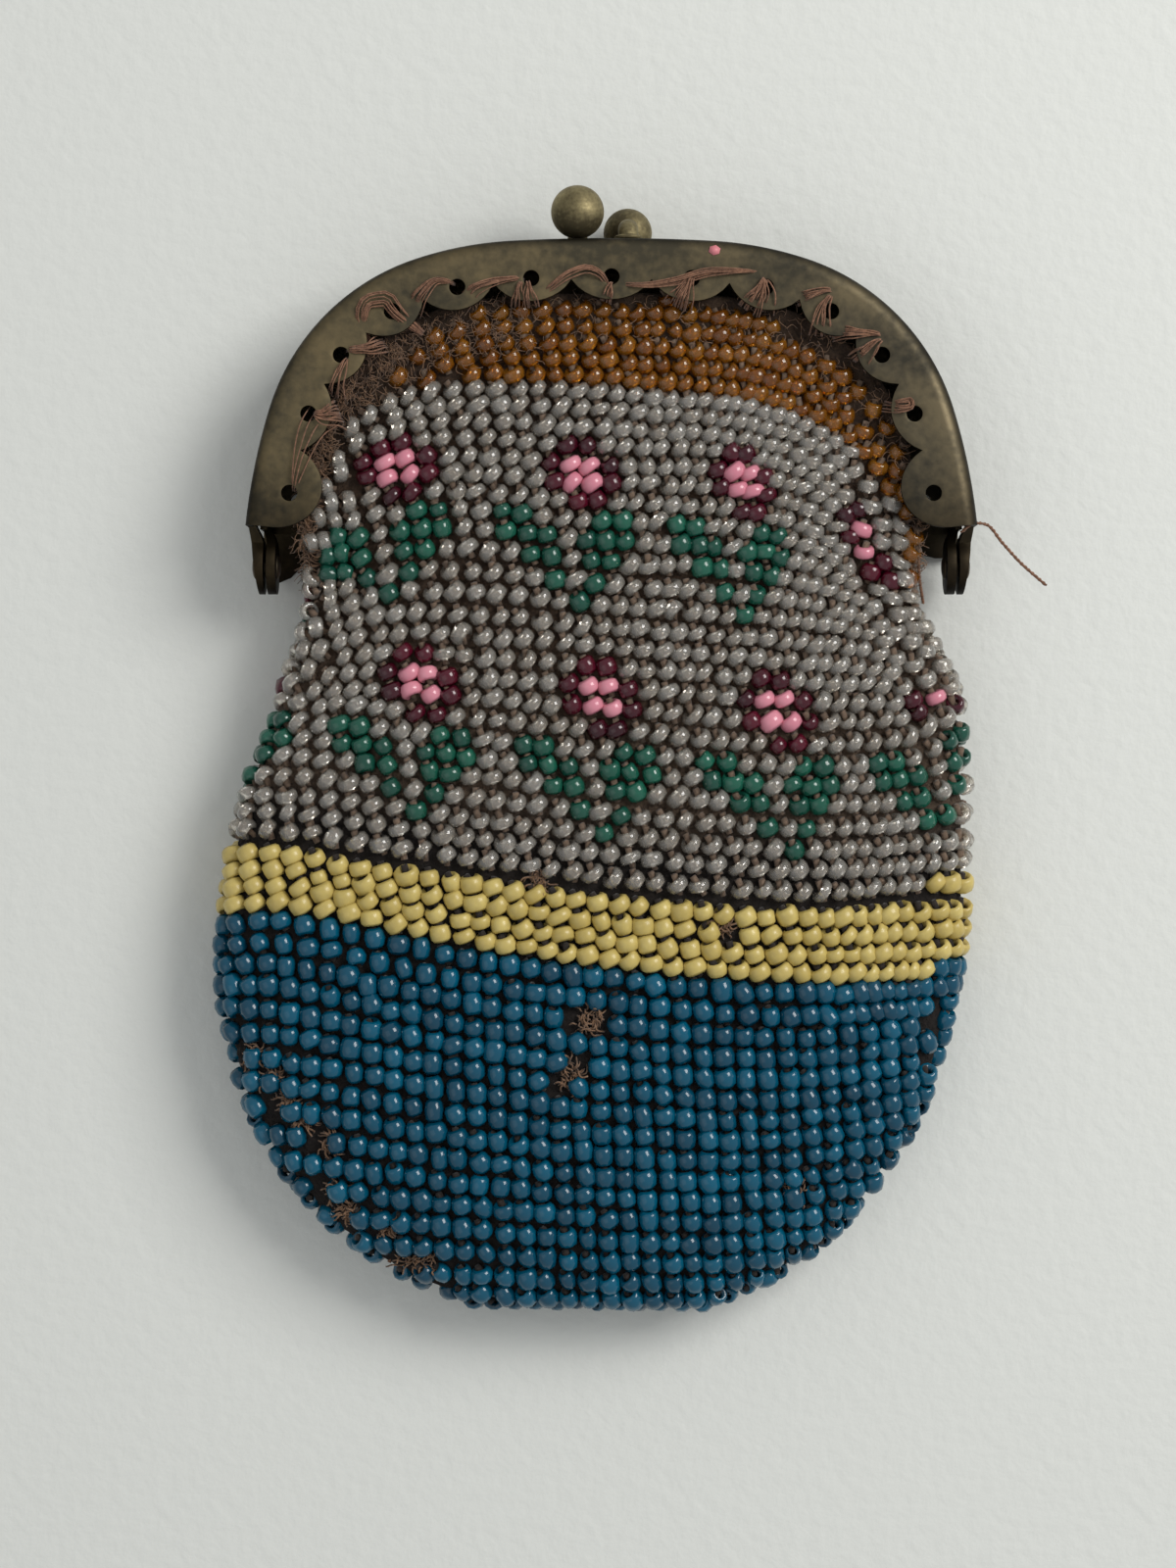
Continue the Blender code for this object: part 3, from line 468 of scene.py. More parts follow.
@dataclass(frozen=True)
class BeadFinish:
    """Glass of one bead colour: each bead has its own tone, and painted shade darkens it towards its hole.
    """

    name: str
    light: Colour
    deep: Colour
    # Painted shade of the hole's recess, also the colour of the random blotches
    hole: Colour
    transmission: float = 0.0
    roughness: float = 0.2
    coat: float = 0.3
    mottle: float = 0.0

    def material(self) -> Material:
        """Make the glass."""
        shader = Shader(self.name)
        tone = shader.mix(shader.attribute("bead_tone"), self.deep, self.light)
        blotch = shader.ramp(shader.noise(1400.0, 3.0), 0.35, 0.65, self.mottle)
        stained = shader.mix(blotch, tone, self.hole)
        # Painted shade: the bead darkens towards its hole
        hole_shaded = shader.mix(shader.attribute("bead_hole_shade"), stained, self.hole)
        return shader.done(base_color=hole_shaded, roughness=self.roughness, coat_weight=self.coat,
                           transmission_weight=self.transmission, coat_roughness=0.08, ior=1.5)


@dataclass(frozen=True)
class FabricFinish:
    """Brown crochet: warmer at the bare edge and darkened there and under the amber beads with painted
    shade, and nearly black under the yellow and blue beads.
    """

    # Upper colour: the yarn's brown, darkened as painted shade of the gaps between the amber beads
    edge: Colour = (0.062, 0.035, 0.019)
    middle: Colour = (0.12, 0.082, 0.055)
    bottom: Colour = (0.016, 0.011, 0.009)
    middle_depth: float = 0.27
    bottom_depth: float = 0.33

    def material(self, fibre: Tree) -> Material:
        """Mix the colour by depth, its upper stop darkened with painted shade, and break it up with the
        shared fibre effect.
        """
        shader = Shader("brown_crochet")
        yarn = shader.effect(fibre, scale=1300.0, light=(1.0, 1.0, 1.0), dark=(0.25, 0.22, 0.2))
        depth_colour = shader.add("ValToRGB", {"Fac": shader.attribute("bag_depth")})
        stops = depth_colour.color_ramp.elements
        stops[1].position = self.middle_depth
        stops.new(self.bottom_depth)
        for stop, colour in zip(stops, (self.edge, self.middle, self.bottom)):
            stop.color = (*colour, 1.0)
        shader.bump(yarn["Height"], 0.8, 0.4)
        return shader.done(base_color=shader.mix(1.0, depth_colour.outputs["Color"], yarn["Colour"], "MULTIPLY"),
                           roughness=0.95)


@dataclass(frozen=True)
class Arch:
    """Outer outline of the frame: tangent arcs from the middle of the crown to a leg end, mirrored."""

    radii: tuple[float, ...] = (170.0, 32.5, 20.3, 55.0)
    turns: tuple[float, ...] = (3.0, 15.6, 54.3, 11.1)
    leg_rise: float = 3.5

    def _arcs(self) -> tuple[Array, Array, Array, Array, Array]:
        """Start length, x, drop, heading and radius of each arc, with the end of the last one."""
        radii = np.array(self.radii)
        heading = np.radians(np.concatenate([[0.0], np.cumsum(self.turns)]))
        start = np.concatenate([[0.0], np.cumsum(radii * np.diff(heading))])
        x = np.concatenate([[0.0], np.cumsum(radii * np.diff(np.sin(heading)))])
        drop = np.concatenate([[0.0], np.cumsum(-radii * np.diff(np.cos(heading)))])
        return start, x, drop, heading, radii

    @property
    def half_length(self) -> float:
        """Length of the outline from the crown's middle to a leg end."""
        return float(self._arcs()[0][-1])

    @property
    def leg_x(self) -> float:
        """Half width of the frame at the leg ends."""
        return float(self._arcs()[1][-1])

    @property
    def crown(self) -> float:
        """Height of the crown above the hinge line."""
        return float(self.leg_rise + self._arcs()[2][-1])

    def at(self, along: Array, depth: Array | float) -> tuple[Array, Array]:
        """Find points of the outline or of a line parallel to it.

        On each arc the heading grows by length over radius, and the point moves in by depth.

        Args:
            along: Length along the outline from the left leg end.
            depth: Distance inwards from the outline.

        Returns:
            x and a of each point.
        """
        start, x0, drop0, heading, radii = self._arcs()
        signed = np.asarray(along, float) - start[-1]
        side = np.where(signed >= 0, 1.0, -1.0)
        distance = np.minimum(np.abs(signed), start[-1])
        k = np.clip(np.searchsorted(start, distance, side="right") - 1, 0, len(radii) - 1)
        angle = heading[k] + (distance - start[k]) / radii[k]
        x = x0[k] + radii[k] * (np.sin(angle) - np.sin(heading[k])) - depth * np.sin(angle)
        drop = drop0[k] + radii[k] * (np.cos(heading[k]) - np.cos(angle))
        past_end = np.abs(signed) - distance
        rise = self.crown - drop - depth * np.cos(angle) - past_end * np.sin(angle)
        return side * (x + past_end * np.cos(angle)), rise


@dataclass(frozen=True)
class SewingPlate:
    """Scalloped and pierced inner plate of a frame half."""

    arch: Arch = Arch()
    holes: int = 13
    hole_radius: float = 0.73
    hole_depth: float = 3.6
    tip_depth: float = 3.8
    lobe_drop: float = 1.8
    shoulder_radius: float = 20.3
    end_radius: float = 3.9
    end_depth: float = 2.5
    end_hole_rise: float = 3.4

    @property
    def end_tip(self) -> float:
        """Length from a leg end to the first notch."""
        lean = (self.tip_depth - self.end_depth) / self.end_radius
        return self.end_radius * (1 + math.sqrt(1 - lean ** 2))

    @property
    def pitch(self) -> float:
        """Length of one lobe along the outline."""
        return (2 * self.arch.half_length - 2 * self.end_tip) / (self.holes - 2)

    def hole_lengths(self) -> Array:
        """Length along the outline of each sewing hole."""
        middles = self.end_tip + self.pitch * (np.arange(self.holes - 2) + 0.5)
        total = 2 * self.arch.half_length
        return np.concatenate([[self.end_hole_rise], middles, [total - self.end_hole_rise]])

    def stations(self, steps: int) -> Array:
        """Lengths along the outline, dense at the notches and at both ends."""
        round_end = self.end_radius * (1 - np.cos(np.linspace(0, math.pi, 2 * steps)))
        left = round_end[round_end < self.end_tip - 0.05]
        lobes = self.end_tip + self.pitch * np.arange(0, (self.holes - 2) * steps + 1) / steps
        return np.concatenate([left, lobes, (2 * self.arch.half_length - left)[::-1]])

    def edge(self, along: Array) -> Array:
        """Depth of the scalloped edge: a circle at each end and an arc over each lobe between.

        Args:
            along: Length along the outline.

        Returns:
            Depth of the edge there, from the outline.
        """
        from_end = np.minimum(along, 2 * self.arch.half_length - along)
        reach = np.clip(self.end_radius ** 2 - (from_end - self.end_radius) ** 2, 0, None)
        round_end = self.end_depth + np.sqrt(reach)
        half_chord = self.pitch * (1 - (self.tip_depth + self.lobe_drop) / (2 * self.shoulder_radius)) / 2
        radius = (half_chord ** 2 + self.lobe_drop ** 2) / (2 * self.lobe_drop)
        share = 2 * (((along - self.end_tip) / self.pitch) % 1.0) - 1
        lobe = self.tip_depth + self.lobe_drop - radius + np.sqrt(radius ** 2 - (share * half_chord) ** 2)
        return np.where(from_end < self.end_tip, round_end, lobe)


# Outlines of the tongues below the back half's left and right leg ends
HEELS: tuple[Table, ...] = (
    ((31.75, 4.0), (31.75, 2.0), (31.2, 1.0), (30.5, -1.2), (29.3, -0.7), (27.9, 0.75), (27.3, 2.2),
     (27.3, 4.0)),
    ((31.75, 4.0), (31.75, 2.0), (31.2, 1.1), (29.7, 1.1), (28.6, 1.4), (27.3, 2.1), (27.3, 4.0)))


@dataclass(frozen=True)
class FrameHalf:
    """One stamped half: rolled rim, side wall, sewing plate and a flattened lug at each leg end."""

    name: str
    face: int
    inset: float
    wall_start: float
    lug_outer: float
    heels: tuple[Table, ...] = ()
    plate: SewingPlate = SewingPlate()
    half_depth: float = 4.95
    sheet: float = 0.6
    rim: float = 1.3
    lug_radius: float = 2.5
    lug_thickness: float = 0.8
    lug_rise: float = 0.9
    lug_margin: float = 0.08
    closing_gap: float = 0.3
    eye_radius: float = 0.88
    lobe_steps: int = 12
    rim_steps: int = 10
    plate_steps: int = 4
    lip: float = 0.1

    def _skin(self, along: Array, inward: float) -> Array:
        """One skin of the sheet as a grid along the outline.

        The profile goes up the wall, over a quarter circle and in over the plate to the scallops.

        Args:
            along: Lengths along the outline.
            inward: 0 for the outer skin and the sheet's thickness for the inner one.

        Returns:
            Points of shape (profile, along, 3).
        """
        bend = self.half_depth - self.rim
        radius = self.rim - inward
        turn = np.linspace(0, math.pi / 2, self.rim_steps)
        depth = np.concatenate([[self.inset + inward], self.inset + self.rim - radius * np.cos(turn)])
        b = np.concatenate([[self.wall_start], bend + radius * np.sin(turn)])
        share = np.linspace(0, 1, self.plate_steps + 1)[1:, None]
        rim_depth = self.inset + self.rim
        plate_depth = rim_depth + (self.plate.edge(along)[None, :] - rim_depth) * share
        depths = np.concatenate([np.repeat(depth[:, None], len(along), 1), plate_depth])
        heights = np.concatenate([b, np.full(self.plate_steps, b[-1])])
        x, a = self.plate.arch.at(np.broadcast_to(along, depths.shape), depths)
        return np.stack([x, a, self.face * np.repeat(heights[:, None], len(along), 1)], axis=-1)

    def _sheet(self) -> tuple[Array, Array]:
        """Closed sheet: both skins and the edge strips between them."""
        along = self.plate.stations(self.lobe_steps)
        points, faces = closed_sheet(self._skin(along, 0.0), self._skin(along, self.sheet))
        return points, faces[:, ::-1] if self.face > 0 else faces

    def _lug(self, side: int, steps: int = 24) -> tuple[Array, Array]:
        """Side wall drawn down into a flat round eye on the hinge line.

        Four corner lines run down from the wall; their width follows a circle below the eye's top. The
        faces that meet between the halves are flat, and the front lug's outer face runs on in one line.

        Args:
            side: -1 for the left lug and 1 for the right one.
            steps: Sections down the lug.

        Returns:
            Points and faces of the closed lug.
        """
        arch = self.plate.arch
        root = arch.leg_rise + self.lug_rise
        eye_top = self.lug_radius * 0.8
        side_gap = self.lug_margin / 2
        down = np.sin(np.linspace(0, math.pi / 2, steps))
        a = root + (-self.lug_radius * 0.985 - root) * down
        flat = np.clip((root - a) / (root - self.lug_radius * 0.75), 0, 1)
        ease = flat * flat * (3 - 2 * flat)
        wall_x = arch.leg_x - self.inset - side_gap
        flat_skin = wall_x + (self.lug_outer - wall_x) * ease
        tapered_skin = wall_x + (self.lug_outer - wall_x) * (root - a) / root
        skin = tapered_skin if self.face > 0 else flat_skin
        thin = self.sheet - self.lug_margin
        thick = thin + (self.lug_thickness - thin) * ease
        round_eye = np.sqrt(np.clip(self.lug_radius ** 2 - a ** 2, 0.04, None))
        eye = np.where(a < eye_top, round_eye, self.lug_radius * 0.6)
        blend = np.clip((a - eye_top) / (root - eye_top), 0, 1)
        high = eye + (self.half_depth - self.rim - 0.5 - eye) * blend
        low = -eye + (self.closing_gap / 2 + 0.2 + eye) * blend
        x = np.stack([skin, skin, flat_skin - thick, flat_skin - thick], -1) * side
        b = np.stack([low, high, high, low], -1) * self.face
        points = np.stack([x, np.repeat(a[:, None], 4, 1), b], -1)
        faces = grid_faces(steps, 4, round_columns=True)
        ends = np.array([[0, 3, 2, 1], [4 * steps - 4 + c for c in (0, 1, 2, 3)]])
        faces = np.concatenate([faces, ends])
        if side * self.face > 0:
            faces = faces[:, ::-1]
        return points.reshape(-1, 3), faces

    def _heel(self, side: int, outline: Table) -> tuple[Array, Array]:
        """Thin tongue of the plate that reaches below a leg end, as a flat prism over its outline."""
        flat = np.array(outline) * (side, 1)
        count = len(flat)
        points = np.concatenate([np.column_stack([flat, np.full(count, self.face * b)])
                                 for b in (self.half_depth - 0.04, self.half_depth - self.sheet + 0.04)])
        walls, caps = tube_faces(2, count)
        triangles = caps[:, [[0, k, k + 1] for k in range(1, count - 1)]].reshape(-1, 3)
        faces = np.concatenate([walls[:, [0, 1, 2]], walls[:, [0, 2, 3]], triangles])
        return points, faces if side < 0 else faces[:, ::-1]

    def _cutters(self) -> tuple[Array, Array, Array]:
        """Cylinders for the sewing holes and the rivet eyes, with their caps."""
        sides = 24
        cosine, sine = circle(sides)
        radius = self.plate.hole_radius
        blocks = []
        for x, a in zip(*self.plate.arch.at(self.plate.hole_lengths(), self.plate.hole_depth)):
            low = np.column_stack([x + radius * cosine, a + radius * sine,
                                   np.full(sides, self.face * self.half_depth - 1.5)])
            blocks.append(np.concatenate([low, low + (0, 0, 3.0)]))
        for side in (-1, 1):
            end = side * (self.lug_outer - 0.4)
            near = np.column_stack([np.full(sides, end - 1.5), self.eye_radius * cosine,
                                    self.eye_radius * sine])
            blocks.append(np.concatenate([near, near + (3.0, 0, 0)]))
        walls, caps = (repeated(faces, len(blocks), 2 * sides) for faces in tube_faces(2, sides))
        return np.concatenate(blocks), walls, caps

    def build(self, finish: Material) -> Piece:
        """Make the half, cut its holes and round its lips."""
        parts = [self._sheet(), self._lug(-1), self._lug(1)]
        parts += [self._heel(side, outline) for side, outline in zip((-1, 1), self.heels)]
        offsets = np.cumsum([0] + [len(points) for points, _ in parts[:-1]])
        points = np.concatenate([points for points, _ in parts])
        face_sets = [faces + offset for (_, faces), offset in zip(parts, offsets)]
        piece = new_piece(self.name, points, face_sets, finish)
        cut_points, walls, caps = self._cutters()
        cutter = new_piece(f"{self.name}_holes", cut_points, [walls, caps], finish)
        boolean = piece.modifiers.new("holes", "BOOLEAN")
        boolean.operation = "DIFFERENCE"
        boolean.solver = "EXACT"
        boolean.use_self = True
        boolean.object = cutter
        bevel = piece.modifiers.new("lips", "BEVEL")
        bevel.width = self.lip * MM
        bevel.segments = 2
        bevel.limit_method = "ANGLE"
        bevel.angle_limit = math.radians(40)
        made = bpy.data.meshes.new_from_object(piece.evaluated_get(bpy.context.evaluated_depsgraph_get()))
        piece.modifiers.clear()
        piece.data = made
        made.set_sharp_from_angle(angle=math.radians(38))
        bpy.data.objects.remove(cutter)
        return piece


def sweep(path: Array, radius: float, sides: int) -> Tube:
    """Round tube along a path, with flat ends.

    Each section is a circle across the path's direction there, started from a fixed slanting line.

    Args:
        path: Points of the middle line.
        radius: Radius.
        sides: Corners of each section.

    Returns:
        Points, side faces and end faces.
    """
    tangent = unit(np.gradient(path, axis=0))
    side = unit(np.cross(tangent, np.array([0.52, 0.31, 0.79])))
    other = np.cross(tangent, side)
    cosine, sine = circle(sides)
    ring = cosine[None, :, None] * side[:, None] + sine[None, :, None] * other[:, None]
    points = path[:, None] + radius * ring
    return points.reshape(-1, 3), *tube_faces(len(path), sides)


def joined(tubes: list[Tube]) -> tuple[Array, list[Array]]:
    """Tubes with the same number of sides as one set of points and faces."""
    offsets = np.cumsum([0] + [len(tube[0]) for tube in tubes[:-1]])
    points = np.concatenate([tube[0] for tube in tubes])
    walls = np.concatenate([tube[1] + offset for tube, offset in zip(tubes, offsets)])
    ends = np.concatenate([tube[2] + offset for tube, offset in zip(tubes, offsets)])
    return points, [walls, ends]


def curve_through(knots: Array, count: int) -> Array:
    """Smooth line through knots, a monotone cubic of each coordinate over the length.

    Args:
        knots: Points to pass through.
        count: Points wanted.

    Returns:
        Evenly spread points of the line.
    """
    knots = np.asarray(knots, float)
    length = np.concatenate([[0], np.cumsum(np.linalg.norm(np.diff(knots, axis=0), axis=1) + 1e-6)])
    at = np.linspace(0, length[-1], count)
    return np.stack([smooth_table(tuple(zip(length, column)), at) for column in knots.T], -1)


@dataclass(frozen=True)
class KissBall:
    """Ball of the kiss lock on its bent post, turned as one path in a plane of constant x."""

    name: str
    face: int
    x: float
    wall: float
    radius: float
    centre: float
    post_height: float = 2.0
    crossing: float = 2.2
    post_radius: float = 0.9
    collar_radius: float = 1.25
    collar_height: float = 0.35
    tail_radius: float = 0.6
    sheet: float = 0.6
    seat_gap: float = 0.05
    head: float = 0.5
    sides: int = 48
    ball_steps: int = 28

    def _profile(self) -> Array:
        """Places (a, b, radius) from the riveted tail inside the wall to the top of the ball."""
        b = self.face * self.post_height
        inside = self.wall - self.sheet - self.seat_gap
        outside = self.wall + 2 * self.seat_gap
        collar = outside + self.collar_height
        fixed = [(inside - self.head, 0.01), (inside - self.head, self.collar_radius * 0.6),
                 (inside - self.head * 0.35, self.collar_radius * 0.93), (inside, self.collar_radius * 0.95),
                 (inside + 0.01, self.tail_radius), (outside, self.tail_radius),
                 (outside + 0.01, self.collar_radius * 0.94), (outside + 0.08, self.collar_radius),
                 (collar - 0.08, self.collar_radius), (collar, self.collar_radius * 0.92),
                 (collar + 0.01, self.post_radius)]
        start = np.array([collar + 0.01, b])
        middle = np.array([self.centre, -self.face * self.crossing])
        bend = np.array([self.centre - 0.1, b])
        arrive = unit(middle - bend)
        neck = middle - arrive * math.sqrt(self.radius ** 2 - self.post_radius ** 2)
        t = np.linspace(0, 1, 12)[1:-1, None]
        post = start * (1 - t) ** 2 + bend * 2 * t * (1 - t) + neck * t * t
        first = math.pi - math.asin(self.post_radius / self.radius)
        angle = first * np.linspace(1, 0, self.ball_steps)
        ball = middle + arrive * (self.radius * np.cos(angle))[:, None]
        lathe = np.column_stack([ball, np.maximum(self.radius * np.sin(angle), 0.01)])
        stem = np.array([(a, b, radius) for a, radius in fixed])
        return np.concatenate([stem, np.column_stack([post, np.full(len(post), self.post_radius)]), lathe])

    def build(self, finish: Material) -> Piece:
        """Sweep circles along the profile's middle line and close both ends."""
        profile = self._profile()
        middle = profile[:, :2]
        step = np.diff(middle, axis=0)
        step = np.where(np.linalg.norm(step, axis=1, keepdims=True) < 1e-6, [[1.0, 0.0]], step)
        tangent = unit(np.concatenate([step[:1], step[:-1] + step[1:], step[-1:]]))
        cosine, sine = circle(self.sides)
        reach = profile[:, 2:] * sine
        points = np.stack([self.x + profile[:, 2:] * cosine, middle[:, :1] - tangent[:, 1:] * reach,
                           middle[:, 1:] + tangent[:, :1] * reach], -1)
        piece = new_piece(self.name, points.reshape(-1, 3), tube_faces(len(profile), self.sides), finish)
        piece.data.set_sharp_from_angle(angle=math.radians(50))
        return piece


@dataclass(frozen=True)
class HingeRivet:
    """Rivet with two domed heads through the front and back lugs of one side."""

    name: str
    side: int
    outer: float
    grip: float = 1.9
    radius: float = 0.8
    head_radius: float = 1.1
    head: float = 0.32
    seat_gap: float = 0.02
    sides: int = 32

    def build(self, finish: Material) -> Piece:
        """Turn the domes and the shank about the hinge line.

        A dome's radius falls off as a quarter circle with its height.
        """
        turn = np.linspace(0, math.pi / 2, 8)
        dome = np.stack([self.head * np.sin(turn), np.maximum(self.head_radius * np.cos(turn), 0.02)], -1)
        outer = self.outer + self.seat_gap
        inner = self.outer - self.grip - self.seat_gap
        shank = [[inner, self.radius], [outer, self.radius]]
        profile = np.concatenate([dome[::-1] * (-1, 1) + (inner, 0), shank, dome + (outer, 0)])
        cosine, sine = circle(self.sides)
        points = np.stack([np.repeat(self.side * profile[:, :1], self.sides, 1),
                           self.side * profile[:, 1:] * cosine, profile[:, 1:] * sine], -1)
        piece = new_piece(self.name, points.reshape(-1, 3), tube_faces(len(profile), self.sides), finish)
        piece.data.set_sharp_from_angle(angle=math.radians(40))
        return piece


@dataclass(frozen=True)
class BagForm:
    """Surface of the bag: closed rows whose top one follows the sewing edge of both frame halves."""

    arch: Arch = Arch()
    edge_b: float = 3.75
    edge_depth: float = 4.8
    side_clearance: float = 5.6
    side_drop: float = 1.0
    gather: float = math.radians(24.0)
    waist: float = 12.0
    depth: float = 67.4
    middle: float = -1.5
    left_belly: float = 34.0
    left_round: float = 2.2
    right_belly: float = 24.0
    right_round: float = 2.35
    half_thickness: float = 5.5
    waist_half: float = 5.0
    fall: float = 44.0
    fall_round: float = 2.3
    least: float = 0.95
    section_round: float = 0.78
    row_dip: float = 6.3
    dip_place: float = 0.75
    dip_return: float = 0.42
    left_side: Table = ((0.0, -5.6), (6.0, -3.2), (12.0, -2.1), (20.0, 1.0), (28.0, 2.7), (34.0, 3.35))
    right_side: Table = ((0.0, -6.4), (4.0, -3.5), (8.0, -1.2), (14.0, -0.25), (24.0, 0.15))
    dip_fade: Table = ((0.0, 0.05), (6.0, 0.22), (12.0, 0.4), (27.0, 0.86), (38.0, 1.0), (52.0, 0.6),
                       (67.4, 0.0))

    @property
    def top(self) -> float:
        """Height of the middle of the sewn edge above the hinge line."""
        return self.arch.crown - self.edge_depth

    def _side_x(self, depth: Array, side: int) -> Array:
        """x of the bag's side: a table down to the belly, then a superellipse to the bottom."""
        table = self.right_side if side > 0 else self.left_side
        belly = self.right_belly if side > 0 else self.left_belly
        power = self.right_round if side > 0 else self.left_round
        upper = side * (self.arch.leg_x + smooth_table(table, depth))
        widest = side * (self.arch.leg_x + table[-1][1])
        share = np.clip((depth - belly) / (self.depth - belly), 0, 1)
        lower = self.middle + (widest - self.middle) * superellipse(share, power)
        return np.where(depth <= belly, upper, lower)

    def _thickness(self, depth: Array) -> Array:
        """Half thickness: a quarter sine out to the belly, then a superellipse to the bottom."""
        rise = np.clip(depth / self.left_belly, 0, 1)
        full = self.waist_half + (self.half_thickness - self.waist_half) * np.sin(rise * math.pi / 2)
        share = np.clip((depth - self.fall) / (self.depth - self.fall), 0, 1)
        return np.maximum(full * superellipse(share, self.fall_round), self.least)

    def across(self, angle: Array) -> Array:
        """Share of the width from the left."""
        return (1 + signed_power(np.cos(angle), self.section_round)) / 2

    def hang(self, angle: Array, depth: Array) -> Array:
        """Depth of a row with its dip towards the right: a quarter sine out and a parabola back."""
        share = self.across(angle)
        rise = np.sin(math.pi / 2 * np.minimum(share / self.dip_place, 1)) ** 1.25
        fall = 1 - self.dip_return * ((share - self.dip_place) / (1 - self.dip_place)) ** 2
        form = np.where(share < self.dip_place, rise, fall)
        return depth + self.row_dip * form * smooth_table(self.dip_fade, depth)

    def _section(self, angle: Array, hang: Array, inset: Array) -> Array:
        """Point of the rounded section: powers of the sine and cosine as in a superellipse."""
        out = signed_power(np.sin(angle), self.section_round)
        left = self._side_x(hang, -1) + inset
        right = self._side_x(hang, 1) - inset
        thick = np.maximum(self._thickness(hang) - inset, 0.3)
        return np.stack([left + (right - left) * self.across(angle), -hang, out * thick], -1)

    def _edge(self, angle: Array, inset: Array) -> Array:
        """Point of the sewn edge: under the front plate, round the hinge, under the back plate."""
        face = np.where(np.sin(angle) >= 0, 1.0, -1.0)
        turn = np.abs(angle)
        from_side = np.minimum(turn, math.pi - turn)
        ease = np.sin(np.minimum(from_side / self.gather, 1.0) * math.pi / 2)
        lean = np.sqrt(np.clip(1 - ease ** 2, 0, None))
        side = np.where(turn < math.pi / 2, 1.0, -1.0)
        share = np.clip(from_side - self.gather, 0, None) / (math.pi / 2 - self.gather)
        half = self.arch.half_length
        start = self.arch.leg_rise * 0.5
        along = start + (half - start) * share
        x, a = self.arch.at(half + side * (half - along), self.edge_depth)
        low_x = side * (self.arch.leg_x - self.side_clearance)
        x = low_x + (x - low_x) * ease - side * inset * lean
        a = -self.side_drop + (a + self.side_drop) * (1 - lean)
        return np.stack([x, a, face * (self.edge_b - inset) * ease], -1)

    def front_at(self, x: Array, a: Array, inset: float) -> Array:
        """Point of the front below the waist above a place (x, a), found by undoing the section."""
        left = self._side_x(-a, -1)
        right = self._side_x(-a, 1)
        out = np.clip(2 * (x - left) / (right - left) - 1, -1, 1)
        return self._section(np.arccos(signed_power(out, 1 / self.section_round)), -a, inset)

    def point(self, angle: Array, depth: Array, inset: Array = 0.0) -> Array:
        """Find points of the bag.

        Below the waist a point lies on the section of its row. Above it, heights go evenly from the
        sewn edge to the waist row, and the section takes over with share + share^2 - share^3.

        Args:
            angle: Angle round the bag, from pi to -pi.
            depth: Depth of the row below the hinge line; negative above it.
            inset: How far inside the bag's outer surface.

        Returns:
            Frame points in millimetres.
        """
        angle, depth, inset = np.broadcast_arrays(angle, depth, np.asarray(inset, float))
        lower = self._section(angle, self.hang(angle, np.maximum(depth, self.waist)), inset)
        share = np.clip((depth + self.top) / (self.waist + self.top), 0, 1)
        edge = self._edge(angle, inset)
        waist_hang = self.hang(angle, np.full(angle.shape, self.waist))
        height = edge[..., 1] + (-waist_hang - edge[..., 1]) * share
        section = self._section(angle, -height, inset)
        ease = (share + share ** 2 - share ** 3)[..., None]
        upper = edge + (section - edge) * ease
        upper[..., 1] = height
        return np.where((depth >= self.waist)[..., None], lower, upper)


class Bead(Enum):
    """Colours of the glass beads."""

    AMBER = "amber"
    CLEAR = "clear"
    PINK = "pink"
    GARNET = "garnet"
    GREEN = "green"
    YELLOW = "yellow"
    BLUE = "blue"


@dataclass(frozen=True)
class BeadCut:
    """Size and stance of the beads of one colour."""

    radius: float
    length: float
    slant: float
    lean: float = 0.25
    square: float = 0.5


CUTS = {
    Bead.AMBER: BeadCut(0.93, 1.28, 40.0, 0.5),
    Bead.CLEAR: BeadCut(1.04, 1.22, 40.0, 0.25),
    Bead.PINK: BeadCut(1.05, 1.34, 34.0, 0.15),
    Bead.GARNET: BeadCut(0.98, 1.4, 36.0),
    Bead.GREEN: BeadCut(0.98, 1.5, 28.0),
    Bead.YELLOW: BeadCut(1.03, 1.46, 30.0, 0.2, 0.7),
    Bead.BLUE: BeadCut(0.98, 1.86, 22.0, 0.1, -0.05),
}

# Rows of one flower from its first leaf row: stitch columns of each colour, counted from the stem
FLOWER: dict[int, dict[Bead, tuple[int, ...]]] = {
    -4: {Bead.GARNET: (1, 2)},
    -3: {Bead.GARNET: (0, 3), Bead.PINK: (1, 2)},
    -2: {Bead.GARNET: (0, 3), Bead.PINK: (1, 2)},
    -1: {Bead.GARNET: (1, 2)},
    0: {Bead.GREEN: (-3, -2, 2, 3)},
    1: {Bead.GREEN: (-3, -2, -1, 1, 2, 3)},
    2: {Bead.GREEN: (-2, -1, 1, 2)},
    3: {Bead.GREEN: (-1, 1)},
    4: {Bead.GREEN: (0,)},
}


@dataclass(frozen=True)
class Gap:
    """Place on the front where beads are lost: frame x, a and the two half widths, in millimetres."""

    x: float
    a: float
    wide: float
    high: float

    def holds(self, x: Array, a: Array) -> Array:
        """Whether a place lies inside."""
        return ((x - self.x) / self.wide) ** 2 + ((a - self.a) / self.high) ** 2 < 1


LOST_BEADS = (
    Gap(-1.9, -40.7, 1.5, 1.6), Gap(-3.8, -45.3, 1.05, 1.9), Gap(17.1, -55.8, 0.8, 0.8),
    Gap(-6.7, -28.1, 0.8, 0.8), Gap(10.2, -32.2, 0.8, 0.8), Gap(-32.9, -43.8, 0.8, 0.8),
    Gap(-31.3, -45.8, 0.7, 0.7), Gap(-30.0, -48.2, 0.7, 0.7), Gap(-28.1, -49.5, 0.7, 0.7),
    Gap(-26.0, -51.6, 0.8, 0.8),
    Gap(-25.4, -56.1, 0.8, 0.8), Gap(-24.5, -57.9, 0.7, 0.7), Gap(-21.0, -59.2, 0.8, 0.7),
    Gap(-18.4, -62.3, 2.3, 1.0))


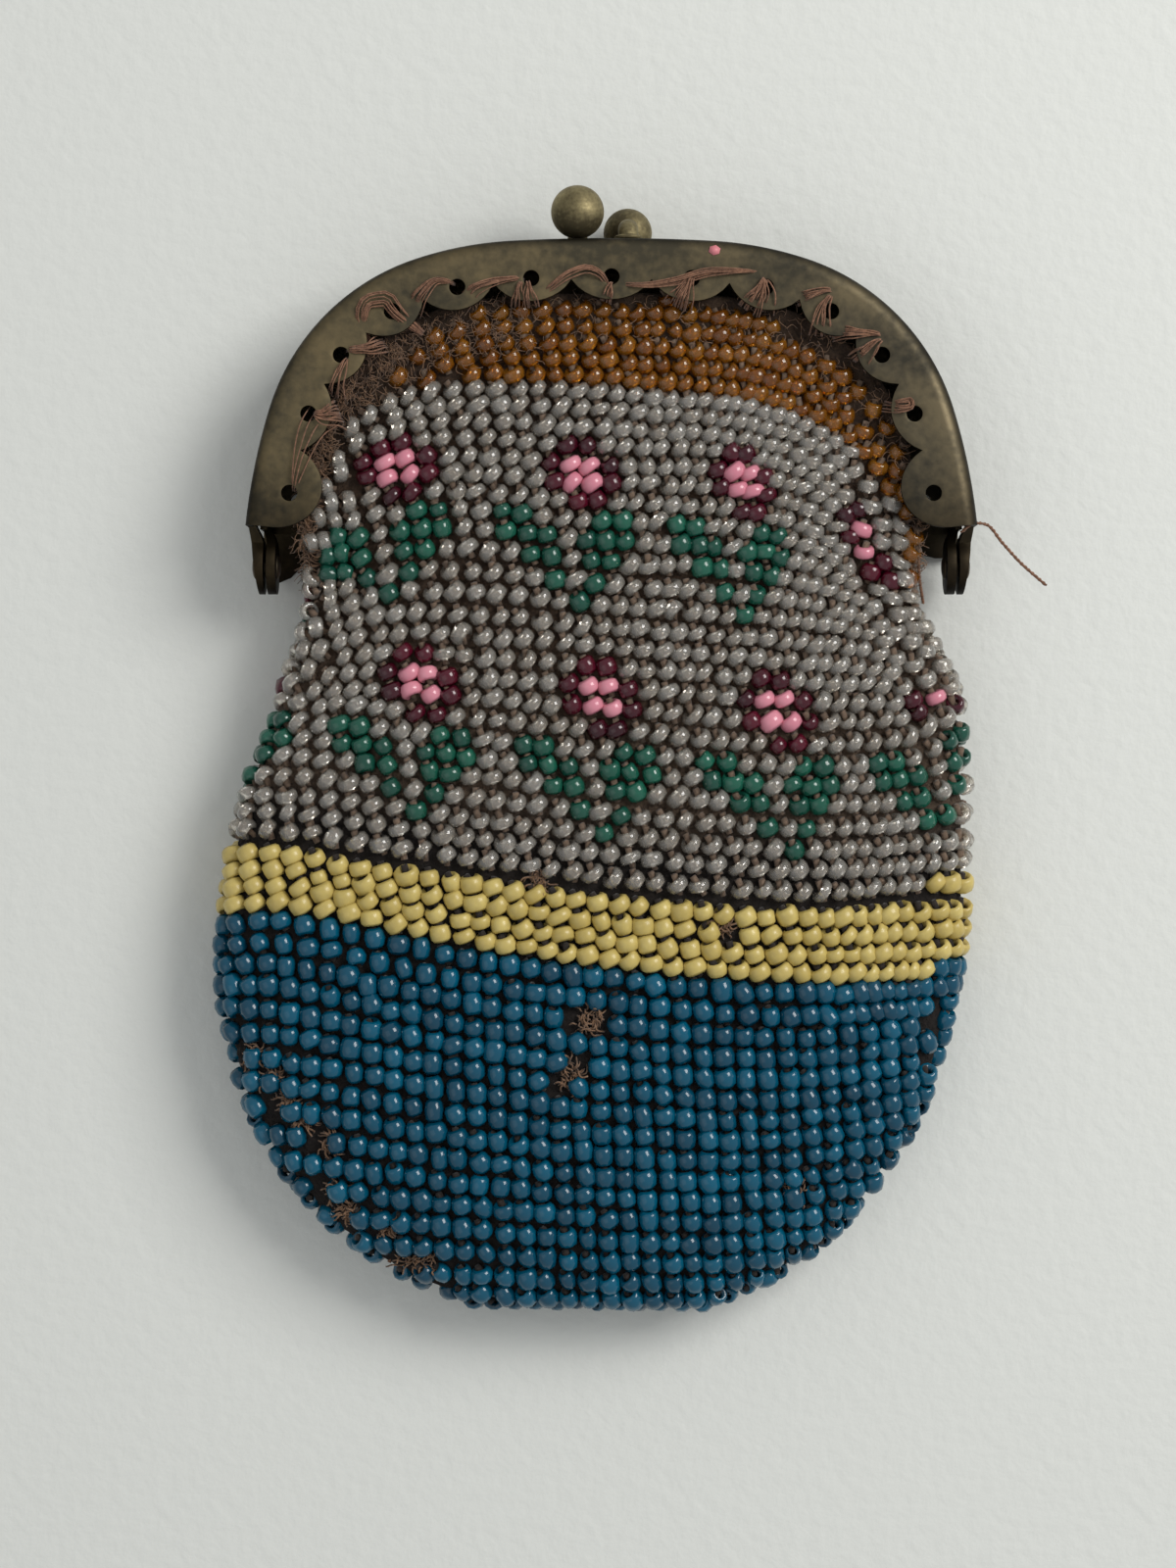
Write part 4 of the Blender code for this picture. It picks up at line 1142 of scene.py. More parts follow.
@dataclass(frozen=True)
class RowBends:
    """How far each row of beads lies below its plain round, over the width of the bag.

    A key row gives the shift in depth at each share of the width. Between key rows the shift is
    linear, and across the width it follows a monotone cubic.
    """

    across: tuple[float, ...] = (0.0, 0.09, 0.17, 0.31, 0.45, 0.62, 0.72, 0.80, 0.90, 1.0)
    rows: tuple[float, ...] = (0.0, 5.5, 10.5, 17.0, 21.5, 28.0, 30.5, 34.5, 42.0)
    shifts: tuple[tuple[float, ...], ...] = (
        (-0.5, -0.3, -0.2, 0.0, 0.1, 0.2, 0.3, 0.3, 0.3, 0.0),
        (-7.15, -2.7, -1.5, 0.0, 0.4, 1.0, 1.2, 1.35, 1.0, -2.0),
        (-8.4, -6.3, -1.95, 0.0, 0.8, 0.7, 0.7, 0.9, 1.1, 0.5),
        (-3.6, -1.9, -0.9, 0.0, 0.45, 0.85, 1.0, 1.0, 1.0, 0.5),
        (-0.56, -0.4, -0.3, 0.0, 0.0, 0.4, 0.7, 0.8, 0.6, -2.0),
        (0.3, 0.0, -0.05, 0.0, 0.1, 0.4, 0.7, 0.85, 1.1, 1.5),
        (0.5, 0.1, 0.3, 0.15, 0.35, 0.55, 0.75, 0.95, 1.2, 2.2),
        (0.7, -0.5, -0.4, 0.0, 0.05, 0.35, 0.55, 0.75, 1.4, 2.5),
        (0.0, 0.0, 0.0, 0.0, 0.0, 0.0, 0.0, 0.0, 0.0, 0.0))

    def shift(self, row: Array, share: Array) -> Array:
        """Shift in depth at a row and a share of the width."""
        key = np.array([smooth_table(tuple(zip(self.across, values)), share) for values in self.shifts])
        place = np.interp(row, self.rows, np.arange(len(self.rows)))
        low = np.minimum(place.astype(int), len(self.rows) - 2)
        part = place - low
        at = np.arange(np.size(share)).reshape(np.shape(share))
        flat = key.reshape(len(self.rows), -1)
        return flat[low, at] * (1 - part) + flat[low + 1, at] * part


@dataclass(frozen=True)
class BeadRounds:
    """Rounds of beads from the mouth to the bottom, each with its colour pattern."""

    form: BagForm = BagForm()
    bends: RowBends = RowBends()
    round_beads: int = 72
    flower_columns: int = 9
    seam_x: float = 28.4
    depth_in: float = 0.92
    pitch: float = 1.87
    closest: float = 1.12
    seed: int = 11
    amber_rows: int = 6
    clear_rows: int = 25
    yellow_rows: int = 4
    first_leaf_rows: tuple[int, int] = (13, 24)
    stem_steps: tuple[int, int] = (0, -1)
    even_row: int = 37
    patch_depths: tuple[float, float] = (-12.0, 21.5)
    patch_side: float = 0.6
    patch_room: float = 1.42
    fold_x: float = 17.8
    bare_x: float = -19.3
    rim_start: float = 42.0
    rim_end: float = 66.0
    rim_closest: float = 1.32
    rim_apart: float = 1.6
    rim_steps: int = 1201
    round_steps: int = 1441
    along_jitter: float = 0.07
    row_jitter: float = 0.04
    front_level: float = -1.0
    round_depths: tuple[float, ...] = (
        -24.2, -23.0, -21.7, -20.3, -19.0, -17.7, -16.43, -14.98, -13.52, -12.07, -10.44, -8.9, -7.27,
        -5.73, -4.02, -2.22, -0.25, 1.55, 3.52, 5.35, 7.12, 8.95, 10.75, 12.5, 14.1, 15.5, 16.95, 18.65,
        20.25, 21.7, 23.2, 25.33, 26.84, 28.37, 29.89, 31.59, 33.47, 35.38, 37.33, 39.36, 41.51, 43.77,
        46.13, 48.53, 50.93, 53.31, 55.73, 58.19, 60.68, 63.19, 65.3)
    gaps: tuple[Gap, ...] = LOST_BEADS
    bare_edge: Table = ((0.0, -17.5), (0.1, -18.8), (0.2, -21.0), (0.31, -23.3), (0.45, -24.0),
                        (0.6, -24.0), (0.72, -22.9), (0.82, -21.9), (0.92, -21.4), (1.0, -19.0))
    stem_rows: tuple[float, ...] = (0.0, 5.5, 10.5, 17.0, 21.5, 28.0, 36.0)
    stem_x: tuple[tuple[float, ...], ...] = (
        (-25.1, -8.3, 6.6, 18.5), (-23.4, -6.7, 8.2, 19.9), (-22.0, -5.3, 9.6, 21.1),
        (-19.7, -2.8, 11.9, 24.4), (-18.0, -1.9, 13.9, 29.0), (-15.4, 1.3, 18.0, 31.4),
        (-12.4, 4.3, 21.0, 31.6))

    def _depth(self, row: Array, angle: Array) -> Array:
        """Depth of a row place at an angle round the bag."""
        plain = np.interp(row, np.arange(len(self.round_depths)), self.round_depths)
        bent = plain + self.bends.shift(row, self.form.across(angle))
        return np.maximum(bent, -self.form.top)

    def _round(self, row: int) -> tuple[Array, Array, Array]:
        """Angles of a dense line of one round, with the length along it and x at each."""
        angle = np.linspace(math.pi, -math.pi, self.round_steps)
        points = self.form.point(angle, self._depth(np.full(angle.shape, float(row)), angle), self.depth_in)
        return angle, lengths(points), points[:, 0]

    def _columns(self, row: int, length: Array, x: Array) -> tuple[Array, Array]:
        """Spread one round's beads along it.

        The stitch columns 0, 9, 18 and 27 stand where the photograph has them, and the beads between
        two of them follow a monotone cubic. Near the bottom the beads are evenly spread, fewer in
        each round.

        Returns:
            Column number of each bead and its length along the round.
        """
        total = float(length[-1])
        ahead = slice(0, int(np.argmax(x)) + 1)
        places = [np.interp(row, self.stem_rows, column) for column in zip(*self.stem_x)]
        stems = np.interp(places, x[ahead], length[ahead])
        if row < self.even_row:
            columns = self.flower_columns * np.arange(len(stems))
            knots = [*zip(columns, stems), (self.round_beads, total + stems[0])]
            column = np.arange(self.round_beads)
            return column, smooth_table(tuple(knots), column.astype(float)) % total
        count = max(int(round(total / self.pitch)), 4)
        column = np.arange(count)
        drift = stems[1] + 0.1 * (row - self.even_row)
        return column, (drift + column * total / count) % total

    def _colour(self, row: int, column: Array, x: Array) -> Array:
        """Colour number of each bead: the band of its row, with the flowers drawn over the clear band.

        The upper flower in the fold at the right shows no leaves.
        """
        names = list(Bead)
        bands = np.cumsum([self.amber_rows, self.clear_rows, self.yellow_rows])
        kinds = (Bead.AMBER, Bead.CLEAR, Bead.YELLOW, Bead.BLUE)
        band = kinds[int(np.searchsorted(bands, row, side="right"))]
        colour = np.full(len(column), names.index(band))
        for leaf_row, step in zip(self.first_leaf_rows, self.stem_steps):
            for kind, places in FLOWER.get(row - leaf_row, {}).items():
                marked = ((column[:, None] - step - np.array(places)) % self.flower_columns == 0).any(1)
                marked &= (kind is not Bead.GREEN) | (step != 0) | (x < self.fold_x)
                colour = np.where(marked, names.index(kind), colour)
        return colour

    def _stance(self, right: Array, angle: Array, depth: Array) -> dict[str, Array]:
        """Directions of beads: right along the row, up across it and normal out of the bag."""
        above = self.form.point(angle, np.maximum(depth - 0.8, -self.form.top))
        normal = unit(np.cross(right, above - self.form.point(angle, depth + 0.8)))
        return {"right": right, "up": np.cross(normal, right), "normal": normal}

    def place(self) -> dict[str, Array]:
        """Lay every bead on the bag.

        Returns:
            Arrays over the beads: centre, three directions, colour number, angle round the bag and row.
        """
        rng = np.random.default_rng(self.seed)
        kept: list[dict[str, Array]] = []
        last: list[Array] = []
        for row in range(len(self.round_depths)):
            angle, length, x = self._round(row)
            column, along = self._columns(row, length, x)
            along = along + rng.normal(0, self.along_jitter, len(along))
            theta = np.interp(along, length, angle)
            middle = np.interp(along, length, x)
            past_seam = (theta >= 0) & (middle > self.seam_x)
            lag = np.where(past_seam, -1.0, np.where(theta < 0, -1 - theta / math.pi, 0.0))
            place = row + lag + rng.normal(0, self.row_jitter, len(theta))
            depth = self._depth(place, theta)
            centre = self.form.point(theta, depth, self.depth_in)
            ahead = np.interp(along + 0.5, length, angle)
            behind = np.interp(along - 0.5, length, angle)
            right = unit(self.form.point(ahead, self._depth(place, ahead))
                         - self.form.point(behind, self._depth(place, behind)))
            fine = depth > smooth_table(self.bare_edge, self.form.across(theta))
            fine &= (row >= self.amber_rows) | (theta < 0) | (centre[:, 0] > self.bare_x)
            earlier = np.concatenate([np.full((1, 3), 1e3)] + last[-3:])
            fine &= np.linalg.norm(centre[:, None] - earlier[None], axis=2).min(1) > self.closest
            for gap in self.gaps:
                fine &= ~(gap.holds(centre[:, 0], centre[:, 1]) & (centre[:, 2] > self.front_level))
            beads = {"centre": centre, **self._stance(right, theta, depth),
                     "colour": self._colour(row, column, centre[:, 0]),
                     "angle": theta, "row": np.full(len(theta), row)}
            last.append(centre[fine])
            kept.append({key: values[fine] for key, values in beads.items()})
        kept.append(self._patch(np.concatenate(last)))
        kept.append(self._rim(np.concatenate(last + [kept[-1]["centre"]]), rng))
        return {key: np.concatenate([part[key] for part in kept]) for key in kept[0]}

    def _patch(self, placed: Array) -> dict[str, Array]:
        """Clear beads at the sides of the upper bag where the bent rows leave room for one."""
        first, last = self.patch_depths
        angle, depth = np.meshgrid(np.linspace(-math.pi, math.pi, 420), np.arange(first, last, 0.35))
        side = np.abs(np.cos(angle)) > self.patch_side
        angle, depth = angle[side], depth[side]
        centre = self.form.point(angle, depth, self.depth_in)
        bare = np.min([np.linalg.norm(centre - point, axis=1) for point in
                       placed[(placed[:, 1] < -first) & (placed[:, 1] > -last - 4)]], axis=0)
        order = np.argsort(-bare)
        chosen: list[int] = []
        for k in order[bare[order] > self.patch_room]:
            if not chosen or np.linalg.norm(centre[chosen] - centre[k], axis=1).min() > self.pitch * 0.85:
                chosen.append(int(k))
        centre, angle, depth = centre[chosen], angle[chosen], depth[chosen]
        right = unit(self.form.point(angle - 0.02, depth) - self.form.point(angle + 0.02, depth))
        return {"centre": centre, **self._stance(right, angle, depth),
                "colour": np.full(len(chosen), list(Bead).index(Bead.CLEAR)),
                "angle": angle, "row": np.full(len(chosen), self.amber_rows)}

    def _rim(self, placed: Array, rng: np.random.Generator) -> dict[str, Array]:
        """Beads along the lower rim where the rounds leave room.

        The rim is the bag's outline at mid thickness, from the left side through the bottom to the right.
        """
        steps = self.rim_steps
        depth = self.rim_start + (self.rim_end - self.rim_start) * np.sin(np.linspace(0, math.pi, steps))
        angle = np.where(np.arange(steps) < steps // 2, math.pi, 0.0)
        section = self.form.point(angle, depth, self.depth_in)
        length = lengths(section)
        at = np.arange(0, length[-1], self.pitch / 3) + rng.normal(0, self.row_jitter)
        line = np.stack([np.interp(at, length, column) for column in section.T], -1)
        right = unit(np.gradient(line, axis=0))
        chosen: list[int] = []
        for k, point in enumerate(line):
            free = np.linalg.norm(placed - point, axis=1).min() > self.rim_closest
            apart = not chosen or np.linalg.norm(line[chosen[-1]] - point) > self.rim_apart
            lost = any(gap.holds(point[0], point[1]) for gap in self.gaps)
            if free and apart and not lost:
                chosen.append(k)
        count = len(chosen)
        forward = np.tile([0.0, 0.0, 1.0], (count, 1))
        return {"centre": line[chosen], "right": right[chosen], "up": forward,
                "normal": np.cross(right[chosen], forward),
                "colour": np.full(count, list(Bead).index(Bead.BLUE)),
                "angle": np.zeros(count), "row": np.full(count, len(self.round_depths))}


@dataclass(frozen=True)
class BeadString:
    """Turns places into glass beads and the yarn through them."""

    around: int = 10
    plug: BeadCut = BeadCut(0.33, 2.0, 26.0)
    plug_sides: int = 5
    plug_depth: float = 0.22
    seed: int = 5

    def _profile(self, square: float) -> tuple[Array, Array]:
        """Closed section of a bead: radius and height shares, up the outside and down the hole."""
        shoulder = 0.58 + 0.14 * square
        side = 0.88 + 0.09 * square
        radius = np.array([0.26, shoulder, side, 1.0, side, shoulder])
        height = np.array([0.0, -0.5, -0.33, 0.0, 0.33, 0.5])
        return radius, height

    def frames(self, beads: dict[str, Array], cut: BeadCut, rng: np.random.Generator) -> tuple[Array, ...]:
        """Three directions of each bead: its hole runs up, slanted along the row and leaning outwards."""
        count = len(beads["centre"])
        slant = np.radians(cut.slant + rng.normal(0, 9, count))[:, None]
        lean = (cut.lean + rng.normal(0, 0.16, count))[:, None]
        hole = unit(beads["up"] * np.cos(slant) - beads["right"] * np.sin(slant) + beads["normal"] * lean)
        first = unit(np.cross(hole, beads["normal"] + 1e-4))
        return first, np.cross(hole, first), hole

    def _ring(self, first: Array, second: Array, sides: int, oval: Array | float) -> Array:
        """Circle across each bead's hole, with an axis of 1 and one of its oval."""
        cosine, sine = (wave[None, None, :, None] for wave in circle(sides))
        return cosine * first[:, None, None] * oval + sine * second[:, None, None]

    def build(self, name: str, beads: dict[str, Array], cut: BeadCut, finish: Material) -> Piece:
        """Make the beads of one colour as one piece.

        Each bead is the closed profile turned about its hole: centre + radius (cos u first + sin u
        second) + height hole.

        Args:
            name: The piece's name.
            beads: Their places and directions.
            cut: Their size and stance.
            finish: Their glass.

        Returns:
            The piece.
        """
        rng = np.random.default_rng(self.seed)
        first, second, hole = self.frames(beads, cut, rng)
        count = len(first)
        radius, height = self._profile(cut.square)
        wide = cut.radius * (1 + rng.normal(0, 0.06, (count, 1, 1, 1)).clip(-0.14, 0.14))
        long = cut.length * (1 + rng.normal(0, 0.09, (count, 1, 1, 1)).clip(-0.2, 0.2))
        oval = 1 + rng.normal(0, 0.05, (count, 1, 1, 1))
        ring = self._ring(first, second, self.around, oval)
        points = (beads["centre"][:, None, None] + ring * radius[None, :, None, None] * wide
                  + hole[:, None, None] * height[None, :, None, None] * long)
        each = len(radius) * self.around
        faces = repeated(grid_faces(len(radius), self.around, True, True), count, each)
        tone = np.repeat(rng.beta(2, 2, count), each)
        # Where the painted shade of the hole lies: 1 on the hole's ring, 0 elsewhere
        inside = np.tile(np.repeat(np.where(radius < 0.5, 1.0, 0.0), self.around), count)
        return new_piece(name, points.reshape(-1, 3), [faces], finish,
                         {"bead_tone": tone, "bead_hole_shade": inside})

    def core(self, name: str, beads: dict[str, Array], finish: Material) -> Piece:
        """Yarn through the beads: a short five-sided plug in each hole, standing out at both ends."""
        rng = np.random.default_rng(self.seed + 1)
        first, second, hole = self.frames(beads, self.plug, rng)
        ring = self._ring(first, second, self.plug_sides, 1.0)
        height = np.array([-0.5, 0.5])[None, :, None, None] * self.plug.length
        inward = beads["normal"][:, None, None] * self.plug_depth
        points = (beads["centre"][:, None, None] - inward + ring * self.plug.radius
                  + hole[:, None, None] * height)
        return new_piece(name, points.reshape(-1, 3),
                         [repeated(faces, len(first), 2 * self.plug_sides)
                          for faces in tube_faces(2, self.plug_sides)], finish)


@dataclass(frozen=True)
class CrochetFabric:
    """Brown crocheted wall under the beads, as a front and a back sheet that meet at the sides."""

    form: BagForm = BagForm()
    columns: int = 170
    rows: int = 220
    edge_inset: float = 0.55
    bead_inset: float = 1.25
    wall: float = 2.15
    relief: float = 0.16
    overlap: float = 0.03
    bottom_margin: float = 1.2

    def _inset(self, angle: Array, depth: Array) -> Array:
        """How deep the fabric lies: near the surface at the bare edge and sunk under the beads.

        Its stitches and the folds of the bare edge are a sine along the row times one down the rows.
        """
        top = np.clip((depth + self.form.top) / 6.0, 0, 1)
        sunk = self.edge_inset + (self.bead_inset - self.edge_inset) * top
        wander = 3 * np.sin(angle * 9) * (1 - top)
        bumps = np.sin(angle * 72) * np.sin(depth * 2 * math.pi / 1.74 + wander)
        folds = 0.25 * (1 - top) * np.sin(angle * 31 + depth) * np.sin(depth * 1.9)
        return sunk - self.relief * bumps - folds

    def build(self, name: str, face: int, finish: Material) -> Piece:
        """Make one sheet from an outer and an inner grid, closed round its edge.

        Args:
            name: The piece's name.
            face: 1 for the front sheet and -1 for the back one.
            finish: Its material.

        Returns:
            The piece.
        """
        half_turn = np.linspace(math.pi + self.overlap, -self.overlap, self.columns)
        angle = half_turn if face > 0 else half_turn - math.pi
        depth = np.linspace(-self.form.top + 0.02, self.form.depth - self.bottom_margin, self.rows)
        grid_angle, grid_depth = np.meshgrid(angle, depth)
        outer = self.form.point(grid_angle, grid_depth, self._inset(grid_angle, grid_depth))
        inner = self.form.point(grid_angle, grid_depth - self.bottom_margin * (grid_depth > 0), self.wall)
        points, faces = closed_sheet(outer, inner)
        share = np.concatenate([grid_depth.ravel(), grid_depth[::-1].ravel()]) / self.form.depth
        return new_piece(name, points, [faces[:, ::-1]], finish, {"bag_depth": share})


class End(Enum):
    """What the end of a stitch does."""

    HOLE = "goes down into a sewing hole"
    CLOTH = "goes down into the bare crochet edge"


@dataclass(frozen=True)
class Stitch:
    """One bundle of sewing strands: its line in (x, a), its two ends, strands and loose spread."""

    line: tuple[tuple[float, float], ...]
    start: End = End.HOLE
    finish: End = End.CLOTH
    strands: int = 4
    spread: float = 0.22


# Stitches over the front plate, from the left leg end to the right one
FRONT_STITCHES = (
    Stitch(((-28.3, 6.5), (-27.4, 9.6), (-26.4, 12.2), (-25.5, 13.5)), strands=2, spread=0.45),
    Stitch(((-26.5, 13.4), (-25.6, 13.2), (-24.3, 13.7)), strands=7, spread=0.4),
    Stitch(((-24.6, 14.9), (-23.9, 17.2), (-23.4, 18.4)), End.CLOTH, End.HOLE, 3, 0.25),
    Stitch(((-23.6, 19.0), (-22.6, 18.9), (-21.6, 18.9), (-20.1, 19.5)), strands=6, spread=0.28),
    Stitch(((-21.7, 19.7), (-22.1, 22.0), (-21.5, 23.2), (-20.1, 23.4), (-19.2, 22.4), (-17.4, 21.0),
            (-16.8, 20.6)), End.CLOTH, End.CLOTH, 5, 0.2),
    Stitch(((-17.8, 22.4), (-16.8, 24.0), (-15.4, 25.1), (-13.9, 24.9)), End.CLOTH, End.HOLE, 6, 0.24),
    Stitch(((-13.4, 23.3), (-12.1, 24.4), (-9.9, 25.1), (-7.8, 25.4)), End.CLOTH, End.HOLE, 6, 0.2),
    Stitch(((-7.9, 25.2), (-8.4, 24.2), (-8.6, 22.9)), strands=3, spread=0.3),
    Stitch(((-7.5, 25.2), (-7.4, 24.2), (-7.3, 22.9)), strands=3, spread=0.3),
    Stitch(((-7.2, 23.6), (-5.6, 24.4), (-3.9, 25.7), (-2.3, 26.2), (-0.8, 25.5), (-0.3, 24.4),
            (-0.8, 23.6)), End.CLOTH, End.CLOTH, 5, 0.24),
    Stitch(((0.0, 25.1), (-0.7, 23.5)), strands=4, spread=0.35),
    Stitch(((0.3, 24.9), (2.5, 24.6), (5.6, 25.0), (9.0, 25.8), (12.8, 25.9), (13.7, 25.8)),
           End.HOLE, End.HOLE, 6, 0.24),
    Stitch(((7.2, 25.6), (6.6, 24.3), (5.9, 22.9)), strands=6, spread=0.4),
    Stitch(((13.7, 25.5), (12.9, 24.2), (11.9, 22.8)), strands=6, spread=0.45),
    Stitch(((13.6, 25.4), (13.8, 24.0), (13.4, 22.6)), strands=3, spread=0.4),
    Stitch(((19.7, 24.3), (18.1, 24.1), (16.5, 23.5)), strands=6, spread=0.4),
    Stitch(((19.6, 24.0), (18.7, 22.4), (18.5, 20.4)), strands=4, spread=0.4),
    Stitch(((24.2, 20.3), (22.0, 20.5), (19.8, 20.6)), strands=6, spread=0.35),
    Stitch(((24.1, 20.0), (22.9, 18.9), (21.9, 17.9)), strands=5, spread=0.4),
    Stitch(((24.3, 14.2), (25.7, 13.8), (26.6, 14.0), (26.5, 14.5), (24.8, 14.2)),
           End.CLOTH, End.HOLE, 3, 0.16),
)


@dataclass(frozen=True)
class SewingThread:
    """Copper-brown sewing thread of one frame half, laid as separate loose strands.

    Stitches spread from a hole into the cloth, and a tail is two strands wound round each other.
    """

    name: str
    face: int
    stitches: tuple[Stitch, ...]
    tails: tuple[tuple[tuple[float, float, float], ...], ...] = ()
    plate_b: float = 4.95
    cloth_b: float = 3.3
    strand: float = 0.062
    tail_radius: float = 0.11
    tail_winding: float = 0.07
    tail_turns: int = 12
    tail_points: int = 40
    sides: int = 5
    points: int = 18
    seed: int = 3

    def _lift(self, line: Array, stitch: Stitch) -> Array:
        """Height of a stitch: level over the plate, falling at an end that goes down.

        The fall follows 1 - share^2 over the last part of the line.
        """
        share = np.linspace(0, 1, len(line))
        level = self.plate_b + 0.22
        drop = np.zeros(len(line))
        for end, distance in ((stitch.start, share), (stitch.finish, 1 - share)):
            if end is End.HOLE:
                drop = np.maximum(drop, 1.5 * np.clip(1 - distance / 0.16, 0, 1) ** 2)
            if end is End.CLOTH:
                drop = np.maximum(drop, (level - self.cloth_b) * np.clip(1 - distance / 0.3, 0, 1) ** 1.5)
        return level - drop

    def build(self, finish: Material) -> Piece:
        """Lay every strand as a thin tube that wanders about its stitch's line."""
        rng = np.random.default_rng(self.seed)
        share = np.linspace(0, 1, self.points)
        opening = {(End.HOLE, End.CLOTH): 0.15 + 1.5 * share,
                   (End.CLOTH, End.HOLE): 1.65 - 1.5 * share,
                   (End.CLOTH, End.CLOTH): 0.5 + np.sin(math.pi * share),
                   (End.HOLE, End.HOLE): 0.15 + np.sin(math.pi * share)}
        tubes = []
        for stitch in self.stitches:
            line = curve_through(stitch.line, self.points)
            lift = self._lift(line, stitch)
            across = unit(np.gradient(line, axis=0))[:, ::-1] * (-1, 1)
            for _ in range(stitch.strands * 2):
                swing = rng.normal(0, stitch.spread) * opening[stitch.start, stitch.finish]
                wave = 0.06 * np.sin(share * rng.uniform(5, 11) + rng.uniform(0, 6))
                moved = line + across * (swing + wave)[:, None]
                height = lift + rng.uniform(-0.04, 0.26) + 0.06 * np.sin(share * 9 + rng.uniform(0, 6))
                path = np.column_stack([moved, self.face * height])
                tubes.append(sweep(path, self.strand * rng.uniform(0.8, 1.25), self.sides))
        for tail in self.tails:
            path = curve_through(tail, self.tail_points)
            twist = np.linspace(0, self.tail_turns * 2 * math.pi, self.tail_points)
            for phase in (0.0, math.pi):
                cosine, sine = np.cos(twist + phase), np.sin(twist + phase)
                winding = self.tail_winding * np.stack([cosine, sine, cosine], -1)
                tubes.append(sweep(path + winding, self.tail_radius, self.sides))
        return new_piece(self.name, *joined(tubes), finish)


@dataclass(frozen=True)
class Fuzz:
    """Worn wool standing out of the bare crochet edge, the lost beads' places and the frayed bottom."""

    form: BagForm = BagForm()
    gaps: tuple[Gap, ...] = LOST_BEADS
    hairs: int = 1500
    hairs_per_gap: int = 44
    hair_radius: float = 0.036
    gap_hair_radius: float = 0.09
    tuft_loops: int = 46
    seed: int = 21

    def _curls(self, rng: np.random.Generator, root: Array, reach: Array, radius: float) -> list[Tube]:
        """Curly hairs: each leaves its root, rises as a parabola and swings as a sine to one side."""
        count = len(root)
        t = np.linspace(0, 1, 7)[None, :, None]
        forward = unit(rng.normal(0, 1, (count, 1, 3)) * (1, 1, 0.2))
        side = unit(np.cross(forward, [0.0, 0.0, 1.0]))
        swing = side * np.sin(t * rng.uniform(3, 6, (count, 1, 1))) * rng.uniform(0.15, 0.45, (count, 1, 1))
        face = np.where(root[:, 2] < 0, -1.0, 1.0)[:, None, None] * np.array([0.0, 0.0, 1.0])
        paths = root[:, None] + (forward * t + swing * t) * reach[:, None, None] + face * 1.6 * t * (1 - t)
        return [sweep(path, radius, 3) for path in paths]

    def edge(self, name: str, face: int, finish: Material) -> Piece:
        """Short curly hairs along one side's edge band, thick at the upper left, and in the front's gaps.

        Args:
            name: The piece's name.
            face: 1 for the front and -1 for the back.
            finish: The wool.

        Returns:
            The piece.
        """
        rng = np.random.default_rng(self.seed)
        angle = rng.uniform(0, math.pi, self.hairs)
        worn = self.hairs // 2
        angle[:worn] = rng.uniform(math.radians(100), math.radians(158), worn)
        depth = -self.form.top + rng.uniform(0.1, 1.0, self.hairs) ** 1.4 * 4.2
        depth[:worn] += rng.uniform(0.0, 1.6, worn)
        root = self.form.point(face * angle, depth, 0.7)
        tubes = self._curls(rng, root, rng.uniform(0.6, 1.8, self.hairs), self.hair_radius)
        for gap in self.gaps if face > 0 else ():
            count = self.hairs_per_gap
            x = gap.x + rng.uniform(-0.8, 0.8, count) * gap.wide
            a = gap.a + rng.uniform(-0.8, 0.8, count) * gap.high
            root = self.form.front_at(x, a, 1.1)
            tubes += self._curls(rng, root, rng.uniform(0.5, 1.3, count), self.gap_hair_radius)
        return new_piece(name, *joined(tubes), finish)

    def tuft(self, finish: Material) -> Piece:
        """Frayed yarn loops where the bottom edge has lost its beads."""
        rng = np.random.default_rng(self.seed + 1)
        tubes = []
        for _ in range(self.tuft_loops):
            x = rng.uniform(-20.2, -16.2)
            start = np.array([x, -60.4 + rng.uniform(-0.3, 0.5) + (x + 18) * -0.35, rng.uniform(-1.5, 1.2)])
            reach = np.array([rng.normal(0.3, 0.5), -rng.uniform(1.2, 2.5), rng.normal(0, 0.4)])
            t = np.linspace(0, 1, 8)[:, None]
            bend = np.array([0.7, 0.6, 0]) * t * t * rng.uniform(-1, 1)
            path = start + reach * np.sin(t * math.pi / 2) + bend
            tubes.append(sweep(path, rng.uniform(0.1, 0.2), 5))
        return new_piece("frayed_tuft", *joined(tubes), finish)


@dataclass(frozen=True)
class PaintSpeck:
    """Small six-sided fleck of pink paint stuck on the front plate."""

    x: float = 9.15
    a: float = 27.8
    b: float = 4.94
    radius: float = 0.55
    thickness: float = 0.06

    def build(self) -> Piece:
        """Make the fleck as a flat prism."""
        turn = 2 * math.pi * (np.arange(6) + 0.3) / 6
        ring = np.column_stack([self.x + self.radius * np.cos(turn),
                                self.a + 0.85 * self.radius * np.sin(turn)])
        points = np.concatenate([np.column_stack([ring, np.full(6, self.b + rise)])
                                 for rise in (0, self.thickness)])
        paint = Shader("pink_paint").done(base_color=(0.74, 0.24, 0.27), roughness=0.45)
        return new_piece("paint_speck", points, tube_faces(2, 6), paint)


def paper_floor() -> None:
    """Lay the pale paper under the purse."""
    size = 600.0
    corners = np.array([(-size, -size, 0), (size, -size, 0), (size, size, 0), (-size, size, 0)])
    shader = Shader("pale_paper")
    shader.bump(shader.noise(700.0, 6.0), 0.22, 0.6)
    finish = shader.done(base_color=(0.80, 0.815, 0.775), roughness=0.9)
    floor = new_piece("paper", corners - HINGE / MM, [np.array([[0, 1, 2, 3]])], finish)


